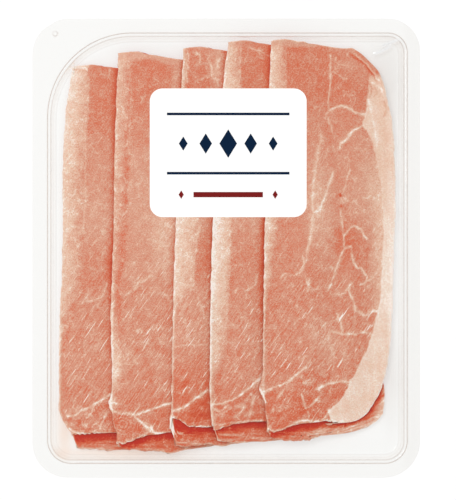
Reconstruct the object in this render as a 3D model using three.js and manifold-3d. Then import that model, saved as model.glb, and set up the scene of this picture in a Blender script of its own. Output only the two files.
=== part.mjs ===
// A sealed pack of sliced cooked ham, lying flat with its label up.
//
// A clear thermoformed tray holds five ham slices. Each slice is folded in half, with the fold on its
// left, and lies over the slice before it as a roof tile does. A clear lid film is sealed to the tray's
// flange, and a paper label is stuck on the film.
//
// Millimetres. +X runs across the pack to the right, +Y up the pack, +Z up through the film.
// The origin is in the middle of the flange's outline, on the surface that the tray stands on.

import * as THREE from 'three';
import { mergeVertices } from 'three/addons/utils/BufferGeometryUtils.js';
import Module from 'manifold-3d';

// ---------------------------------------------------------------- driving dimensions

// Rounded rectangles. Corner radii run counter-clockwise from the top right corner.
const FLANGE = { x: 0, y: 0, width: 190, height: 225, radii: [16, 18, 17.5, 18] };
const CAVITY = { x: 0.6, y: 0, width: 176.4, height: 211, radii: [9.5, 41.5, 11.5, 11] };
const LABEL = { x: 1, y: 46.7, width: 76.8, height: 63, radii: [6.3, 6.3, 6.3, 6.3] };
const CORNER_STEPS = 8;

const TRAY_DEPTH = 14; // underside of the floor to the top of the flange
const TRAY_WALL = 0.5;
const EDGE_ROUND = 0.6; // where the flange turns down into the cavity
const LEDGE = { inset: 1.5, z: 12.4 }; // a narrow step just under the flange
const WALL_FOOT_INSET = 2.6; // where the drafted wall meets the floor's fillet
const FLOOR_FILLET = 2;
const FILLET_STEPS = 3;

// A small dimple pressed down into the flange at the large corner, where the film isn't sealed.
const PEEL_DIMPLE = { x: -83.8, y: 105.1, radius: 1.5, depth: 0.7 };

const FILM = { gap: 0.1, thickness: 0.2, dome: 0.9, spring: 12 }; // spring: where the dome starts
const FILM_RINGS = [0, 9, 14, 20, 30, 48, 70]; // insets of the mesh's rings from the outline
const LABEL_PAPER = { gap: 0.1, thickness: 0.2 };
const LABEL_RINGS = [0, 10, 22];

// Ham. A leaf is one half of a folded slice.
const LEAF = 1.1; // thickness of one leaf
const LEAF_GAP = 0.35; // between the two leaves of a slice
const SLICE_GAP = 0.5; // between one slice and the next
const FOLD_BULGE = { height: 1.2, reach: 6 }; // a loose fold stands up along its edge
const DROOP = { start: 2.5, reach: 18 }; // past an edge below it, where a slice comes down
const FLOOR_CLEARANCE = 0.3;
const WALL_CLIMB = { reach: 6, rate: 0.12 }; // ham near the tray's wall is pushed up it

// Shapes of a leaf's edges. Places and widths are shares of the way across from the fold.
const CREST = { height: 0.8, width: 0.6 }; // the upper edge swells a little beside the fold
const FALL = { start: 0.25, reach: 0.65 }; // and then falls towards the right
const FLAP = { at: 0.1, halfWidth: 0.48 }; // the torn lower corner of the upper leaf
const BELLY = { at: 0.4, depth: 3, power: 1.5 }; // the lower leaf hangs lowest here
const FOLD_CORNER = { share: 0.08, drop: 1 }; // between the fold's end and the lower leaf's edge
const FOOT_ROUND = { height: 11, power: 1.6 }; // the fold's lower corner is rounded away

// Each slice from left to right, which is also from the lowest to the highest.
//   foot, lean, bend   the fold's x at its lower end, how much further right its upper end is, and
//                      the power that says how late it leans
//   cut                how far right the fold's lower corner is rounded away
//   top, slope         the upper edge's y at the fold, and how far it falls towards the right
//   foldedEnd          y of the upper leaf's lower edge
//   flap               how far a torn corner of the upper leaf hangs below its lower edge
//   lowerEnd           y of the lower leaf's lower edge, which shows below it
const SLICES = [
  {
    foot: -82.6, lean: 7.6, bend: 4.5, cut: 6,
    top: 89.8, slope: 1.6, foldedEnd: -91, flap: 1, lowerEnd: -99.8,
  },
  {
    foot: -56.2, lean: 3.9, bend: 2, cut: 2,
    top: 96.2, slope: 3.4, foldedEnd: -91, flap: 5.8, lowerEnd: -98.4,
  },
  {
    foot: -27, lean: 6, bend: 1.7, cut: 1,
    top: 98.6, slope: 2.5, foldedEnd: -88.2, flap: -3, lowerEnd: -96,
  },
  {
    foot: -8.1, lean: 9.1, bend: 2.8, cut: 1,
    top: 101.6, slope: 2.8, foldedEnd: -85, flap: 2, lowerEnd: -94.6,
  },
  {
    foot: 17.9, lean: 4.2, bend: 2, cut: 2,
    top: 101.9, slope: 4.6, foldedEnd: -85.4, flap: 5.2, lowerEnd: -92.2,
  },
];

// Sampling of the folded sheet: across the lower leaf, round the fold, across the upper leaf, and up
// the slice. Columns crowd towards the fold, and rows towards the two ends.
const LOWER_STEPS = 8;
const FOLD_STEPS = 4;
const UPPER_STEPS = 11;
const ROW_STEPS = 20;
const COLUMN_CROWDING = 1.2;
const ROW_CROWDING = 0.8;

// ---------------------------------------------------------------- small mathematics

const clamp01 = (t) => Math.min(1, Math.max(0, t));

const smoothstep = (t) => clamp01(t) ** 2 * (3 - 2 * clamp01(t));

const mix = (a, b, t) => a + (b - a) * t;

// Distance inside the outline of a rounded rectangle, positive inwards.
function insetFrom(rect, x, y) {
  const dx = x - rect.x;
  const dy = y - rect.y;
  const quadrant = dy >= 0 ? (dx >= 0 ? 0 : 1) : (dx >= 0 ? 3 : 2);
  const radius = rect.radii[quadrant];
  const qx = Math.abs(dx) - rect.width / 2 + radius;
  const qy = Math.abs(dy) - rect.height / 2 + radius;
  return radius - Math.min(Math.max(qx, qy), 0) - Math.hypot(Math.max(qx, 0), Math.max(qy, 0));
}

// ---------------------------------------------------------------- closed meshes

// The corner points of a rounded rectangle drawn `inset` inside its outline, counter-clockwise.
function ringOf(rect, inset, heightAt) {
  const sharpest = 0.4;
  const ring = [];
  const signs = [[1, 1], [-1, 1], [-1, -1], [1, -1]];
  signs.forEach(([sx, sy], corner) => {
    const radius = Math.max(rect.radii[corner] - inset, sharpest);
    const centreX = rect.x + sx * (rect.width / 2 - inset - radius);
    const centreY = rect.y + sy * (rect.height / 2 - inset - radius);
    for (let step = 0; step <= CORNER_STEPS; step += 1) {
      const angle = (corner + step / CORNER_STEPS) * Math.PI / 2;
      const x = centreX + radius * Math.cos(angle);
      const y = centreY + radius * Math.sin(angle);
      ring.push([x, y, heightAt(x, y)]);
    }
  });
  return ring;
}

function geometryOf(points, triangles) {
  const geometry = new THREE.BufferGeometry();
  geometry.setAttribute('position', new THREE.Float32BufferAttribute(points.flat(), 3));
  geometry.setIndex(triangles.flat());
  geometry.computeVertexNormals();
  return geometry;
}

// A closed skin through rings of equal length: from the middle of the top face outwards, round the
// rim, and back to the middle of the underside. Both ends close on a centre point.
function ringSolid(rings, topCentre, undersideCentre) {
  const count = rings[0].length;
  const points = [topCentre, ...rings.flat(), undersideCentre];
  const at = (ring, k) => 1 + ring * count + (k % count);
  const last = rings.length - 1;
  const end = points.length - 1;
  const triangles = [];
  for (let k = 0; k < count; k += 1) {
    triangles.push([0, at(0, k), at(0, k + 1)]);
    for (let ring = 0; ring < last; ring += 1) {
      triangles.push([at(ring, k), at(ring + 1, k), at(ring + 1, k + 1)]);
      triangles.push([at(ring, k), at(ring + 1, k + 1), at(ring, k + 1)]);
    }
    triangles.push([end, at(last, k + 1), at(last, k)]);
  }
  return geometryOf(points, triangles);
}

// A closed sheet between two grids of points that share their columns and rows. Seen from outside
// the first grid, its columns run to the right where its rows run up.
function sheetSolid(columns, rows, outerPoint, innerPoint) {
  const points = [];
  for (const pointAt of [outerPoint, innerPoint]) {
    for (let i = 0; i <= columns; i += 1) {
      for (let j = 0; j <= rows; j += 1) points.push(pointAt(i, j));
    }
  }
  const outer = (i, j) => i * (rows + 1) + j;
  const inner = (i, j) => outer(i, j) + (columns + 1) * (rows + 1);
  const triangles = [];
  const quad = (a, b, c, d) => triangles.push([a, b, c], [a, c, d]);
  for (let i = 0; i < columns; i += 1) {
    for (let j = 0; j < rows; j += 1) {
      quad(outer(i, j), outer(i + 1, j), outer(i + 1, j + 1), outer(i, j + 1));
      quad(inner(i, j), inner(i, j + 1), inner(i + 1, j + 1), inner(i + 1, j));
    }
    quad(inner(i, 0), inner(i + 1, 0), outer(i + 1, 0), outer(i, 0));
    quad(outer(i, rows), outer(i + 1, rows), inner(i + 1, rows), inner(i, rows));
  }
  for (let j = 0; j < rows; j += 1) {
    quad(inner(0, j), outer(0, j), outer(0, j + 1), inner(0, j + 1));
    quad(outer(columns, j), inner(columns, j), inner(columns, j + 1), outer(columns, j + 1));
  }
  return geometryOf(points, triangles);
}

// ---------------------------------------------------------------- joining and cutting

const wasm = await Module();
wasm.setup();

function toSolid(geometry) {
  const bare = geometry.clone();
  bare.deleteAttribute('normal');
  bare.deleteAttribute('uv');
  const merged = mergeVertices(bare, 1e-4);
  return new wasm.Manifold(new wasm.Mesh({
    numProp: 3,
    vertProperties: new Float32Array(merged.attributes.position.array),
    triVerts: new Uint32Array(merged.index.array),
  }));
}

function fromSolid(solid) {
  const { vertProperties, triVerts } = solid.getMesh();
  const geometry = new THREE.BufferGeometry();
  geometry.setAttribute('position', new THREE.BufferAttribute(vertProperties, 3));
  geometry.setIndex(new THREE.BufferAttribute(triVerts, 1));
  geometry.computeVertexNormals();
  return geometry;
}

// ---------------------------------------------------------------- tray

// The tray's section as [inset from the cavity's edge, height], from the floor up to the flange. The
// inner face and the underside follow the same line, a wall thickness apart.
function traySection(offset) {
  const floor = TRAY_WALL - offset;
  const filletRadius = FLOOR_FILLET + offset;
  const filletInset = WALL_FOOT_INSET - offset + filletRadius;
  const section = [];
  for (let step = 0; step <= FILLET_STEPS; step += 1) {
    const angle = (step / FILLET_STEPS) * Math.PI / 2;
    section.push([
      filletInset - filletRadius * Math.sin(angle),
      floor + filletRadius * (1 - Math.cos(angle)),
    ]);
  }
  section.push([LEDGE.inset - offset, LEDGE.z - offset / 2]);
  section.push([EDGE_ROUND / 2 - offset, LEDGE.z + EDGE_ROUND / 2 - offset / 2]);
  section.push([-offset, TRAY_DEPTH - EDGE_ROUND - offset]);
  section.push([-EDGE_ROUND - offset / 2, TRAY_DEPTH - offset]);
  return section;
}

function trayShell() {
  const level = (z) => () => z;
  const inside = traySection(0).map(([inset, z]) => ringOf(CAVITY, inset, level(z)));
  const outside = traySection(TRAY_WALL).map(([inset, z]) => ringOf(CAVITY, inset, level(z)));
  const rings = [
    ...inside,
    ringOf(FLANGE, 0, level(TRAY_DEPTH)),
    ringOf(FLANGE, 0, level(TRAY_DEPTH - TRAY_WALL)),
    ...outside.reverse(),
  ];
  return ringSolid(rings, [CAVITY.x, CAVITY.y, TRAY_WALL], [CAVITY.x, CAVITY.y, 0]);
}

// A ball above the flange whose lowest cap reaches below the flange's face, as wide and deep as the
// dimple.
function dimpleBall() {
  const { x, y, radius, depth } = PEEL_DIMPLE;
  const ballRadius = (radius ** 2 + depth ** 2) / (2 * depth);
  const ball = new THREE.SphereGeometry(ballRadius, 16, 24);
  ball.rotateX(Math.PI / 2);
  ball.translate(x, y, TRAY_DEPTH - depth + ballRadius);
  return toSolid(ball);
}

// The dimple's outside, which stands out under the flange.
function dimpleBoss() {
  const { x, y, radius, depth } = PEEL_DIMPLE;
  const overlap = 0.1;
  const boss = new THREE.CylinderGeometry(radius, radius * 0.6, depth, 16);
  boss.rotateX(Math.PI / 2);
  boss.translate(x, y, TRAY_DEPTH - TRAY_WALL + overlap - depth / 2);
  return toSolid(boss);
}

const tray = () => fromSolid(toSolid(trayShell()).add(dimpleBoss()).subtract(dimpleBall()));

// ---------------------------------------------------------------- lid film and label

// The film lies flat on the flange and rises in a shallow dome over the cavity.
function domeRise(x, y) {
  const u = clamp01(2 * Math.abs(x - CAVITY.x) / CAVITY.width);
  const v = clamp01(2 * Math.abs(y - CAVITY.y) / CAVITY.height);
  const spring = smoothstep(insetFrom(CAVITY, x, y) / FILM.spring);
  return FILM.dome * (1 - u ** 4) * (1 - v ** 4) * spring;
}

const filmUnder = (x, y) => TRAY_DEPTH + FILM.gap + domeRise(x, y);
const filmTop = (x, y) => filmUnder(x, y) + FILM.thickness;
const labelUnder = (x, y) => filmTop(x, y) + LABEL_PAPER.gap;
const labelTop = (x, y) => labelUnder(x, y) + LABEL_PAPER.thickness;

// A thin sheet that covers a rounded rectangle, with rings at the given insets from its outline.
function cover(rect, insets, upper, lower) {
  const upperRings = insets.map((inset) => ringOf(rect, inset, upper)).reverse();
  const lowerRings = insets.map((inset) => ringOf(rect, inset, lower));
  return ringSolid(
    [...upperRings, ...lowerRings],
    [rect.x, rect.y, upper(rect.x, rect.y)],
    [rect.x, rect.y, lower(rect.x, rect.y)],
  );
}

const lidFilm = () => cover(FLANGE, FILM_RINGS, filmTop, filmUnder);

const label = () => cover(LABEL, LABEL_RINGS, labelTop, labelUnder);

// ---------------------------------------------------------------- ham

// The fold's x at a height up the slice.
function foldX(slice, y) {
  const along = clamp01((y - slice.foldedEnd) / (slice.top - slice.foldedEnd));
  const low = clamp01((slice.foldedEnd + FOOT_ROUND.height - y) / FOOT_ROUND.height);
  return slice.foot + slice.lean * along ** slice.bend + slice.cut * low ** FOOT_ROUND.power;
}

// y of a leaf's upper and lower edge, at a share of the way across from the fold.
function upperEdge(slice, share) {
  const crest = CREST.height * Math.sin(Math.PI * clamp01(share / CREST.width));
  return slice.top + crest - slice.slope * smoothstep((share - FALL.start) / FALL.reach);
}

function foldedLeafEnd(slice, share) {
  return slice.foldedEnd - slice.flap * clamp01(1 - Math.abs(share - FLAP.at) / FLAP.halfWidth);
}

function lowerLeafEnd(slice, share) {
  const below = slice.lowerEnd + BELLY.depth * Math.abs(share - BELLY.at) ** BELLY.power;
  const corner = foldedLeafEnd(slice, 0) - FOLD_CORNER.drop;
  return mix(corner, below, smoothstep(share / FOLD_CORNER.share));
}

// The two leaves of a slice. A leaf ends as half a superellipse does, away from the fold: its straight
// ends are so wide, it's so wide in the middle, and the curve between has one power above and one below.
const UPPER_LEAF = {
  middle: 65, topWidth: 28, topPower: 2.5, footWidth: 32, footPower: 3.1, end: foldedLeafEnd,
};
const LOWER_LEAF = {
  middle: 61.5, topWidth: 30, topPower: 2.4, footWidth: 38, footPower: 5.5, end: lowerLeafEnd,
};

// How far up a leaf a point is, from -1 at its lower edge to 1 at its upper edge.
function acrossLeaf(slice, leaf, share, y) {
  const end = leaf.end(slice, share);
  const top = upperEdge(slice, share);
  return (2 * y - top - end) / (top - end);
}

// The curve that rounds a leaf off above its middle, or below it, as [straight width, power].
const rounding = (leaf, across) => (
  across > 0 ? [leaf.topWidth, leaf.topPower] : [leaf.footWidth, leaf.footPower]
);

// A leaf's width from the fold to its round side, at a height up the slice.
function leafWidth(slice, leaf, y) {
  const across = acrossLeaf(slice, leaf, 0.5, y);
  const [straight, power] = rounding(leaf, across);
  return mix(straight, leaf.middle, clamp01(1 - Math.abs(across) ** power) ** (1 / power));
}

// About how far outside a leaf's outline a point lies, in millimetres, or 0 inside it.
function pastOutline(slice, leaf, x, y) {
  const fromFold = x - foldX(slice, y);
  const share = clamp01(fromFold / leafWidth(slice, leaf, y));
  const across = acrossLeaf(slice, leaf, share, y);
  const [straight, power] = rounding(leaf, across);
  const roundPart = leaf.middle - straight;
  const u = Math.max(fromFold - straight, 0) / roundPart;
  const v = Math.abs(across);
  const level = (u ** power + v ** power) ** (1 / power);
  if (level <= 1) return Math.max(-fromFold, 0);
  const halfHeight = (upperEdge(slice, share) - leaf.end(slice, share)) / 2;
  const slopeX = (u / level) ** (power - 1) / roundPart;
  const slopeY = (v / level) ** (power - 1) / halfHeight;
  return Math.max((level - 1) / Math.hypot(slopeX, slopeY), -fromFold);
}

// How much a leaf holds up what lies over it at a point: all of its thickness inside its outline,
// and less and less past its edge.
function support(slice, leaf, x, y) {
  return 1 - smoothstep((pastOutline(slice, leaf, x, y) - DROOP.start) / DROOP.reach);
}

const foldBulge = (slice, x, y) => {
  const distance = Math.max(x - foldX(slice, y), 0);
  return FOLD_BULGE.height * Math.exp(-((distance / FOLD_BULGE.reach) ** 2));
};

// Where ham that lies straight on the tray starts: the floor, or up the fillet near the wall.
function trayRest(x, y) {
  const near = Math.max(WALL_CLIMB.reach - insetFrom(CAVITY, x, y), 0);
  return TRAY_WALL + FLOOR_CLEARANCE + WALL_CLIMB.rate * near ** 2;
}

// Underside of a slice's lower leaf, lying on every slice before it.
function lowerLeafRest(index, x, y) {
  let z = trayRest(x, y);
  for (const below of SLICES.slice(0, index)) {
    z += (LEAF + SLICE_GAP) * support(below, LOWER_LEAF, x, y);
    z += (LEAF + LEAF_GAP + foldBulge(below, x, y)) * support(below, UPPER_LEAF, x, y);
  }
  return z;
}

// Underside of a slice's upper leaf, lying on its own lower leaf.
function upperLeafRest(index, x, y) {
  const slice = SLICES[index];
  const held = (LEAF + LEAF_GAP) * support(slice, LOWER_LEAF, x, y);
  return lowerLeafRest(index, x, y) + held + foldBulge(slice, x, y);
}

// How far up the slice a row lies, from 0 to 1.
function rowShare(row) {
  const even = row / ROW_STEPS;
  const crowded = (1 - Math.cos(Math.PI * even)) / 2;
  return mix(even, crowded, ROW_CROWDING);
}

// A point on the outer or inner face of a folded slice. side is 1 outside the fold and -1 inside it.
function slicePoint(index, column, row, side) {
  const slice = SLICES[index];
  const q = rowShare(row);
  const foldColumn = column - LOWER_STEPS;
  if (foldColumn >= 0 && foldColumn <= FOLD_STEPS) {
    const turn = foldColumn / FOLD_STEPS;
    const y = mix(mix(lowerLeafEnd(slice, 0), foldedLeafEnd(slice, 0), turn), upperEdge(slice, 0), q);
    const fold = foldX(slice, y);
    const low = lowerLeafRest(index, fold, y) + LEAF / 2;
    const high = upperLeafRest(index, fold, y) + LEAF / 2;
    const radius = (high - low) / 2;
    const angle = -Math.PI / 2 - turn * Math.PI;
    const reach = radius + side * LEAF / 2;
    const x = fold + radius + LEAF / 2 + reach * Math.cos(angle);
    return [x, y, (low + high) / 2 + reach * Math.sin(angle)];
  }
  const isUpper = foldColumn > 0;
  const leaf = isUpper ? UPPER_LEAF : LOWER_LEAF;
  const even = isUpper ? (foldColumn - FOLD_STEPS) / UPPER_STEPS : -foldColumn / LOWER_STEPS;
  const share = even ** COLUMN_CROWDING;
  const y = mix(leaf.end(slice, share), upperEdge(slice, share), q);
  const fold = foldX(slice, y);
  const start = (LEAF * 2 + LEAF_GAP + FOLD_BULGE.height) / 2;
  const x = fold + mix(start, leafWidth(slice, leaf, y), share);
  const under = isUpper ? upperLeafRest(index, x, y) : lowerLeafRest(index, x, y);
  const outward = isUpper ? side : -side;
  return [x, y, under + LEAF / 2 + outward * LEAF / 2];
}

function hamSlice(index) {
  return sheetSolid(
    LOWER_STEPS + FOLD_STEPS + UPPER_STEPS,
    ROW_STEPS,
    (column, row) => slicePoint(index, column, row, 1),
    (column, row) => slicePoint(index, column, row, -1),
  );
}

// ---------------------------------------------------------------- the pack

const clearPlastic = new THREE.MeshStandardMaterial({
  color: 0xf4f3ef, roughness: 0.12, metalness: 0, transparent: true, opacity: 0.3,
});
const clearFilm = new THREE.MeshStandardMaterial({
  color: 0xffffff, roughness: 0.08, metalness: 0, transparent: true, opacity: 0.15,
});
const whitePaper = new THREE.MeshStandardMaterial({ color: 0xfdfdfc, roughness: 0.55, metalness: 0 });
const cookedHam = new THREE.MeshStandardMaterial({ color: 0xd6937b, roughness: 0.45, metalness: 0 });

function piece(name, geometry, material) {
  const mesh = new THREE.Mesh(geometry, material);
  mesh.name = name;
  return mesh;
}

const pack = new THREE.Group();
pack.add(piece('tray', tray(), clearPlastic));
pack.add(piece('lid_film', lidFilm(), clearFilm));
pack.add(piece('label', label(), whitePaper));
SLICES.forEach((_, index) => {
  pack.add(piece(`ham_slice_${index + 1}`, hamSlice(index), cookedHam));
});

export default pack;
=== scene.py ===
"""A sealed pack of sliced cooked ham, dressed for Blender 4.5 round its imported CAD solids.

A clear thermoformed tray holds five ham slices, each folded in half and lying over the slice before
it. A clear lid film is sealed to the tray's flange, with a white paper label stuck on it. The pack
lies with its label up, under a camera that looks straight down.

Shapes are worked out in millimetres, in the frame of the CAD solids: +X across the pack to the
right, +Y up the pack, +Z up through the film. They become metres as they go into a mesh.
"""

from __future__ import annotations

import logging
import math
from dataclasses import dataclass
from enum import Enum
from typing import Any, Callable, Sequence

import bpy
import numpy as np
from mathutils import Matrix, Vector

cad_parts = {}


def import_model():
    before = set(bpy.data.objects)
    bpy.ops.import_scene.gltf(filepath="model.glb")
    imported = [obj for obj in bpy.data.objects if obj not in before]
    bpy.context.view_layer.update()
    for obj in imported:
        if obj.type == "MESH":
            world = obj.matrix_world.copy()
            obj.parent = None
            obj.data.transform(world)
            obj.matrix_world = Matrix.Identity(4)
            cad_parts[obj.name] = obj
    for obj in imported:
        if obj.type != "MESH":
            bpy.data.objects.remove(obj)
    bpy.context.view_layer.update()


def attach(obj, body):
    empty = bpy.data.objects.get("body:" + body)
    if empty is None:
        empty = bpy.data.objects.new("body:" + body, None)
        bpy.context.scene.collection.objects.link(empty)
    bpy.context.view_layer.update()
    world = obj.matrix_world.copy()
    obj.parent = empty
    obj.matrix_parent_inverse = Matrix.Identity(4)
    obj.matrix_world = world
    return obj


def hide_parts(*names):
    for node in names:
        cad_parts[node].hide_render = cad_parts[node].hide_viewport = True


LOG = logging.getLogger("ham_pack")

MM = 0.001
BODY = "root"

Array = np.ndarray
Point = tuple[float, float]
Curve = tuple[Point, ...]
HeightField = Callable[[Array, Array], Array]


# ---------------------------------------------------------------- small mathematics


def clamp01(value: Array) -> Array:
    """Returns the value held between 0 and 1."""
    return np.clip(value, 0.0, 1.0)


def smoothstep(value: Array) -> Array:
    """Returns the cubic ease from 0 to 1 of a value held between 0 and 1."""
    held = clamp01(value)
    return held * held * (3.0 - 2.0 * held)


def bell(distance: Array, width: float) -> Array:
    """Returns exp(-(distance / width)^2), which is 1 at no distance and 0.37 at the width."""
    return np.exp(-((distance / width) ** 2))


def mix(start: Array, end: Array, share: Array) -> Array:
    """Returns the straight blend from start to end."""
    return start + (end - start) * share


def along(curve: Curve, place: Array) -> Array:
    """Reads a curve given by a few points.

    Args:
        curve: Pairs of place and value, in any order.
        place: Where to read it.

    Returns:
        The value at each place, on straight lines between the points.
    """
    knots = np.array(sorted(curve))
    return np.interp(place, knots[:, 0], knots[:, 1])


def ripple(x: Array, y: Array, size: float, seed: int) -> Array:
    """A smooth irregular wave: the mean of plane sine waves of like length in scattered directions.

    Args:
        x: Places across, in mm.
        y: Places along, in mm.
        size: Rough width of one bump, in mm.
        seed: Picks the directions, lengths and phases.

    Returns:
        Heights of about -1 to 1.
    """
    draw = np.random.default_rng(seed)
    total = np.zeros(np.broadcast(x, y).shape)
    waves = 9
    for heading, phase, length in draw.uniform(0.0, 1.0, (waves, 3)):
        angle = 2.0 * math.pi * heading
        pitch = math.pi / (size * (0.7 + 0.8 * length))
        total += np.sin(pitch * (x * math.cos(angle) + y * math.sin(angle)) + 2.0 * math.pi * phase)
    return total / math.sqrt(waves * 2.0)


def rounded_course(course: Curve) -> Array:
    """Cuts a path's corners twice, which leaves a smooth course of many points.

    Args:
        course: The points that the path follows.

    Returns:
        The smoothed points, one row each, with both ends kept.
    """
    points = np.array(course, dtype=float)
    for _ in range(2):
        near = 0.75 * points[:-1] + 0.25 * points[1:]
        far = 0.25 * points[:-1] + 0.75 * points[1:]
        cut = np.stack([near, far], axis=1).reshape(-1, 2)
        points = np.vstack([points[:1], cut, points[-1:]])
    return points


def distance_to(course: Curve, x: Array, y: Array) -> Array:
    """Distance from each place to the nearest stretch of a smoothed path.

    Args:
        course: The points that the path follows, in mm.
        x: Places across, in mm.
        y: Places along, in mm.

    Returns:
        Distances in mm.
    """
    points = rounded_course(course)
    nearest = np.full(x.shape, 1e9)
    for (ax, ay), (bx, by) in zip(points[:-1], points[1:]):
        length = max((bx - ax) ** 2 + (by - ay) ** 2, 1e-9)
        share = clamp01(((x - ax) * (bx - ax) + (y - ay) * (by - ay)) / length)
        gap = (x - ax - share * (bx - ax)) ** 2 + (y - ay - share * (by - ay)) ** 2
        nearest = np.minimum(nearest, gap)
    return np.sqrt(nearest)


def linear(hex_colour: str) -> tuple[float, float, float, float]:
    """Turns an sRGB hex colour such as #d6937b into linear red, green, blue and alpha."""
    parts = [int(hex_colour[k : k + 2], 16) / 255.0 for k in (1, 3, 5)]
    light = [v / 12.92 if v <= 0.04045 else ((v + 0.055) / 1.055) ** 2.4 for v in parts]
    return (light[0], light[1], light[2], 1.0)


# ---------------------------------------------------------------- meshes


def sheet_faces(columns: int, rows: int, step: int = 1) -> list[Array]:
    """Faces that close two grids of columns and rows into one sheet.

    The points run row by row inside column by column, first the outer grid's and then the inner
    grid's. Seen from outside the outer grid, columns run to the right where rows run up.

    Args:
        columns: Points across the outer grid.
        rows: Points along the outer grid.
        step: The inner grid has every step-th point of the outer one, both ends included.

    Returns:
        Four-sided faces of both grids, and the faces round the rim, with step + 3 corners each.
    """
    outer = np.arange(columns * rows).reshape(columns, rows)
    shape = ((columns - 1) // step + 1, (rows - 1) // step + 1)
    inner = columns * rows + np.arange(shape[0] * shape[1]).reshape(shape)

    def grid(a: Array) -> Array:
        """Returns a grid's faces, seen from outside."""
        corners = (a[:-1, :-1], a[1:, :-1], a[1:, 1:], a[:-1, 1:])
        return np.stack([corner.ravel() for corner in corners], axis=1)

    def rim(a: Array, b: Array) -> Array:
        """Returns the faces between an outer edge and the inner edge beside it."""
        ways = [a[j : len(a) - step + j : step] for j in range(step + 1)]
        return np.stack([b[:-1], *ways, b[1:]], axis=1)

    rims = [
        rim(outer[:, 0], inner[:, 0])[:, ::-1],
        rim(outer[:, -1], inner[:, -1]),
        rim(outer[0], inner[0]),
        rim(outer[-1], inner[-1])[:, ::-1],
    ]
    return [np.vstack([grid(outer), grid(inner)[:, ::-1]]), np.vstack(rims)]


def make_piece(
    name: str,
    points: Array,
    faces: Sequence[Array],
    layers: dict[str, Array] | None = None,
    sharp_degrees: float = 50.0,
) -> bpy.types.Object:
    """Puts points and faces into a mesh object at the origin.

    Args:
        name: The piece's name.
        points: Points in mm, one row each.
        faces: Arrays of faces, each with one row of point numbers for a face.
        layers: Painted values for each point, by name.
        sharp_degrees: Edges that turn more than this stay sharp.

    Returns:
        The new object, linked to the scene.
    """
    mesh = bpy.data.meshes.new(name)
    mesh.vertices.add(len(points))
    mesh.vertices.foreach_set("co", (points * MM).astype(np.float32).ravel())
    corners = np.concatenate([group.ravel() for group in faces])
    sizes = np.concatenate([np.full(len(group), group.shape[1]) for group in faces])
    starts = np.concatenate([[0], np.cumsum(sizes)[:-1]])
    mesh.loops.add(len(corners))
    mesh.loops.foreach_set("vertex_index", corners.astype(np.int32))
    mesh.polygons.add(len(sizes))
    mesh.polygons.foreach_set("loop_start", starts.astype(np.int32))
    mesh.polygons.foreach_set("use_smooth", np.ones(len(sizes), dtype=bool))
    mesh.update(calc_edges=True)
    mesh.validate()
    mesh.set_sharp_from_angle(angle=math.radians(sharp_degrees))
    for layer_name, values in (layers or {}).items():
        layer = mesh.attributes.new(layer_name, "FLOAT", "POINT")
        layer.data.foreach_set("value", values.astype(np.float32).ravel())
    piece = bpy.data.objects.new(name, mesh)
    bpy.context.scene.collection.objects.link(piece)
    return piece


def install(
    piece: bpy.types.Object, material: bpy.types.Material, node: str = ""
) -> None:
    """Dresses a piece, ties it to the pack's body and hides the CAD node that it stands for.

    Args:
        piece: The finished object.
        material: Its finish.
        node: The CAD node that it replaces, if it replaces one.
    """
    piece.data.materials.append(material)
    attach(piece, BODY)
    if node:
        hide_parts(node)
    LOG.info("%s: %d faces", piece.name, len(piece.data.polygons))


def let_light_through(piece: bpy.types.Object) -> None:
    """Keeps a thin piece over the ham from shading it, as the photograph's soft light does."""
    piece.visible_shadow = False
    piece.visible_diffuse = False


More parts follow.
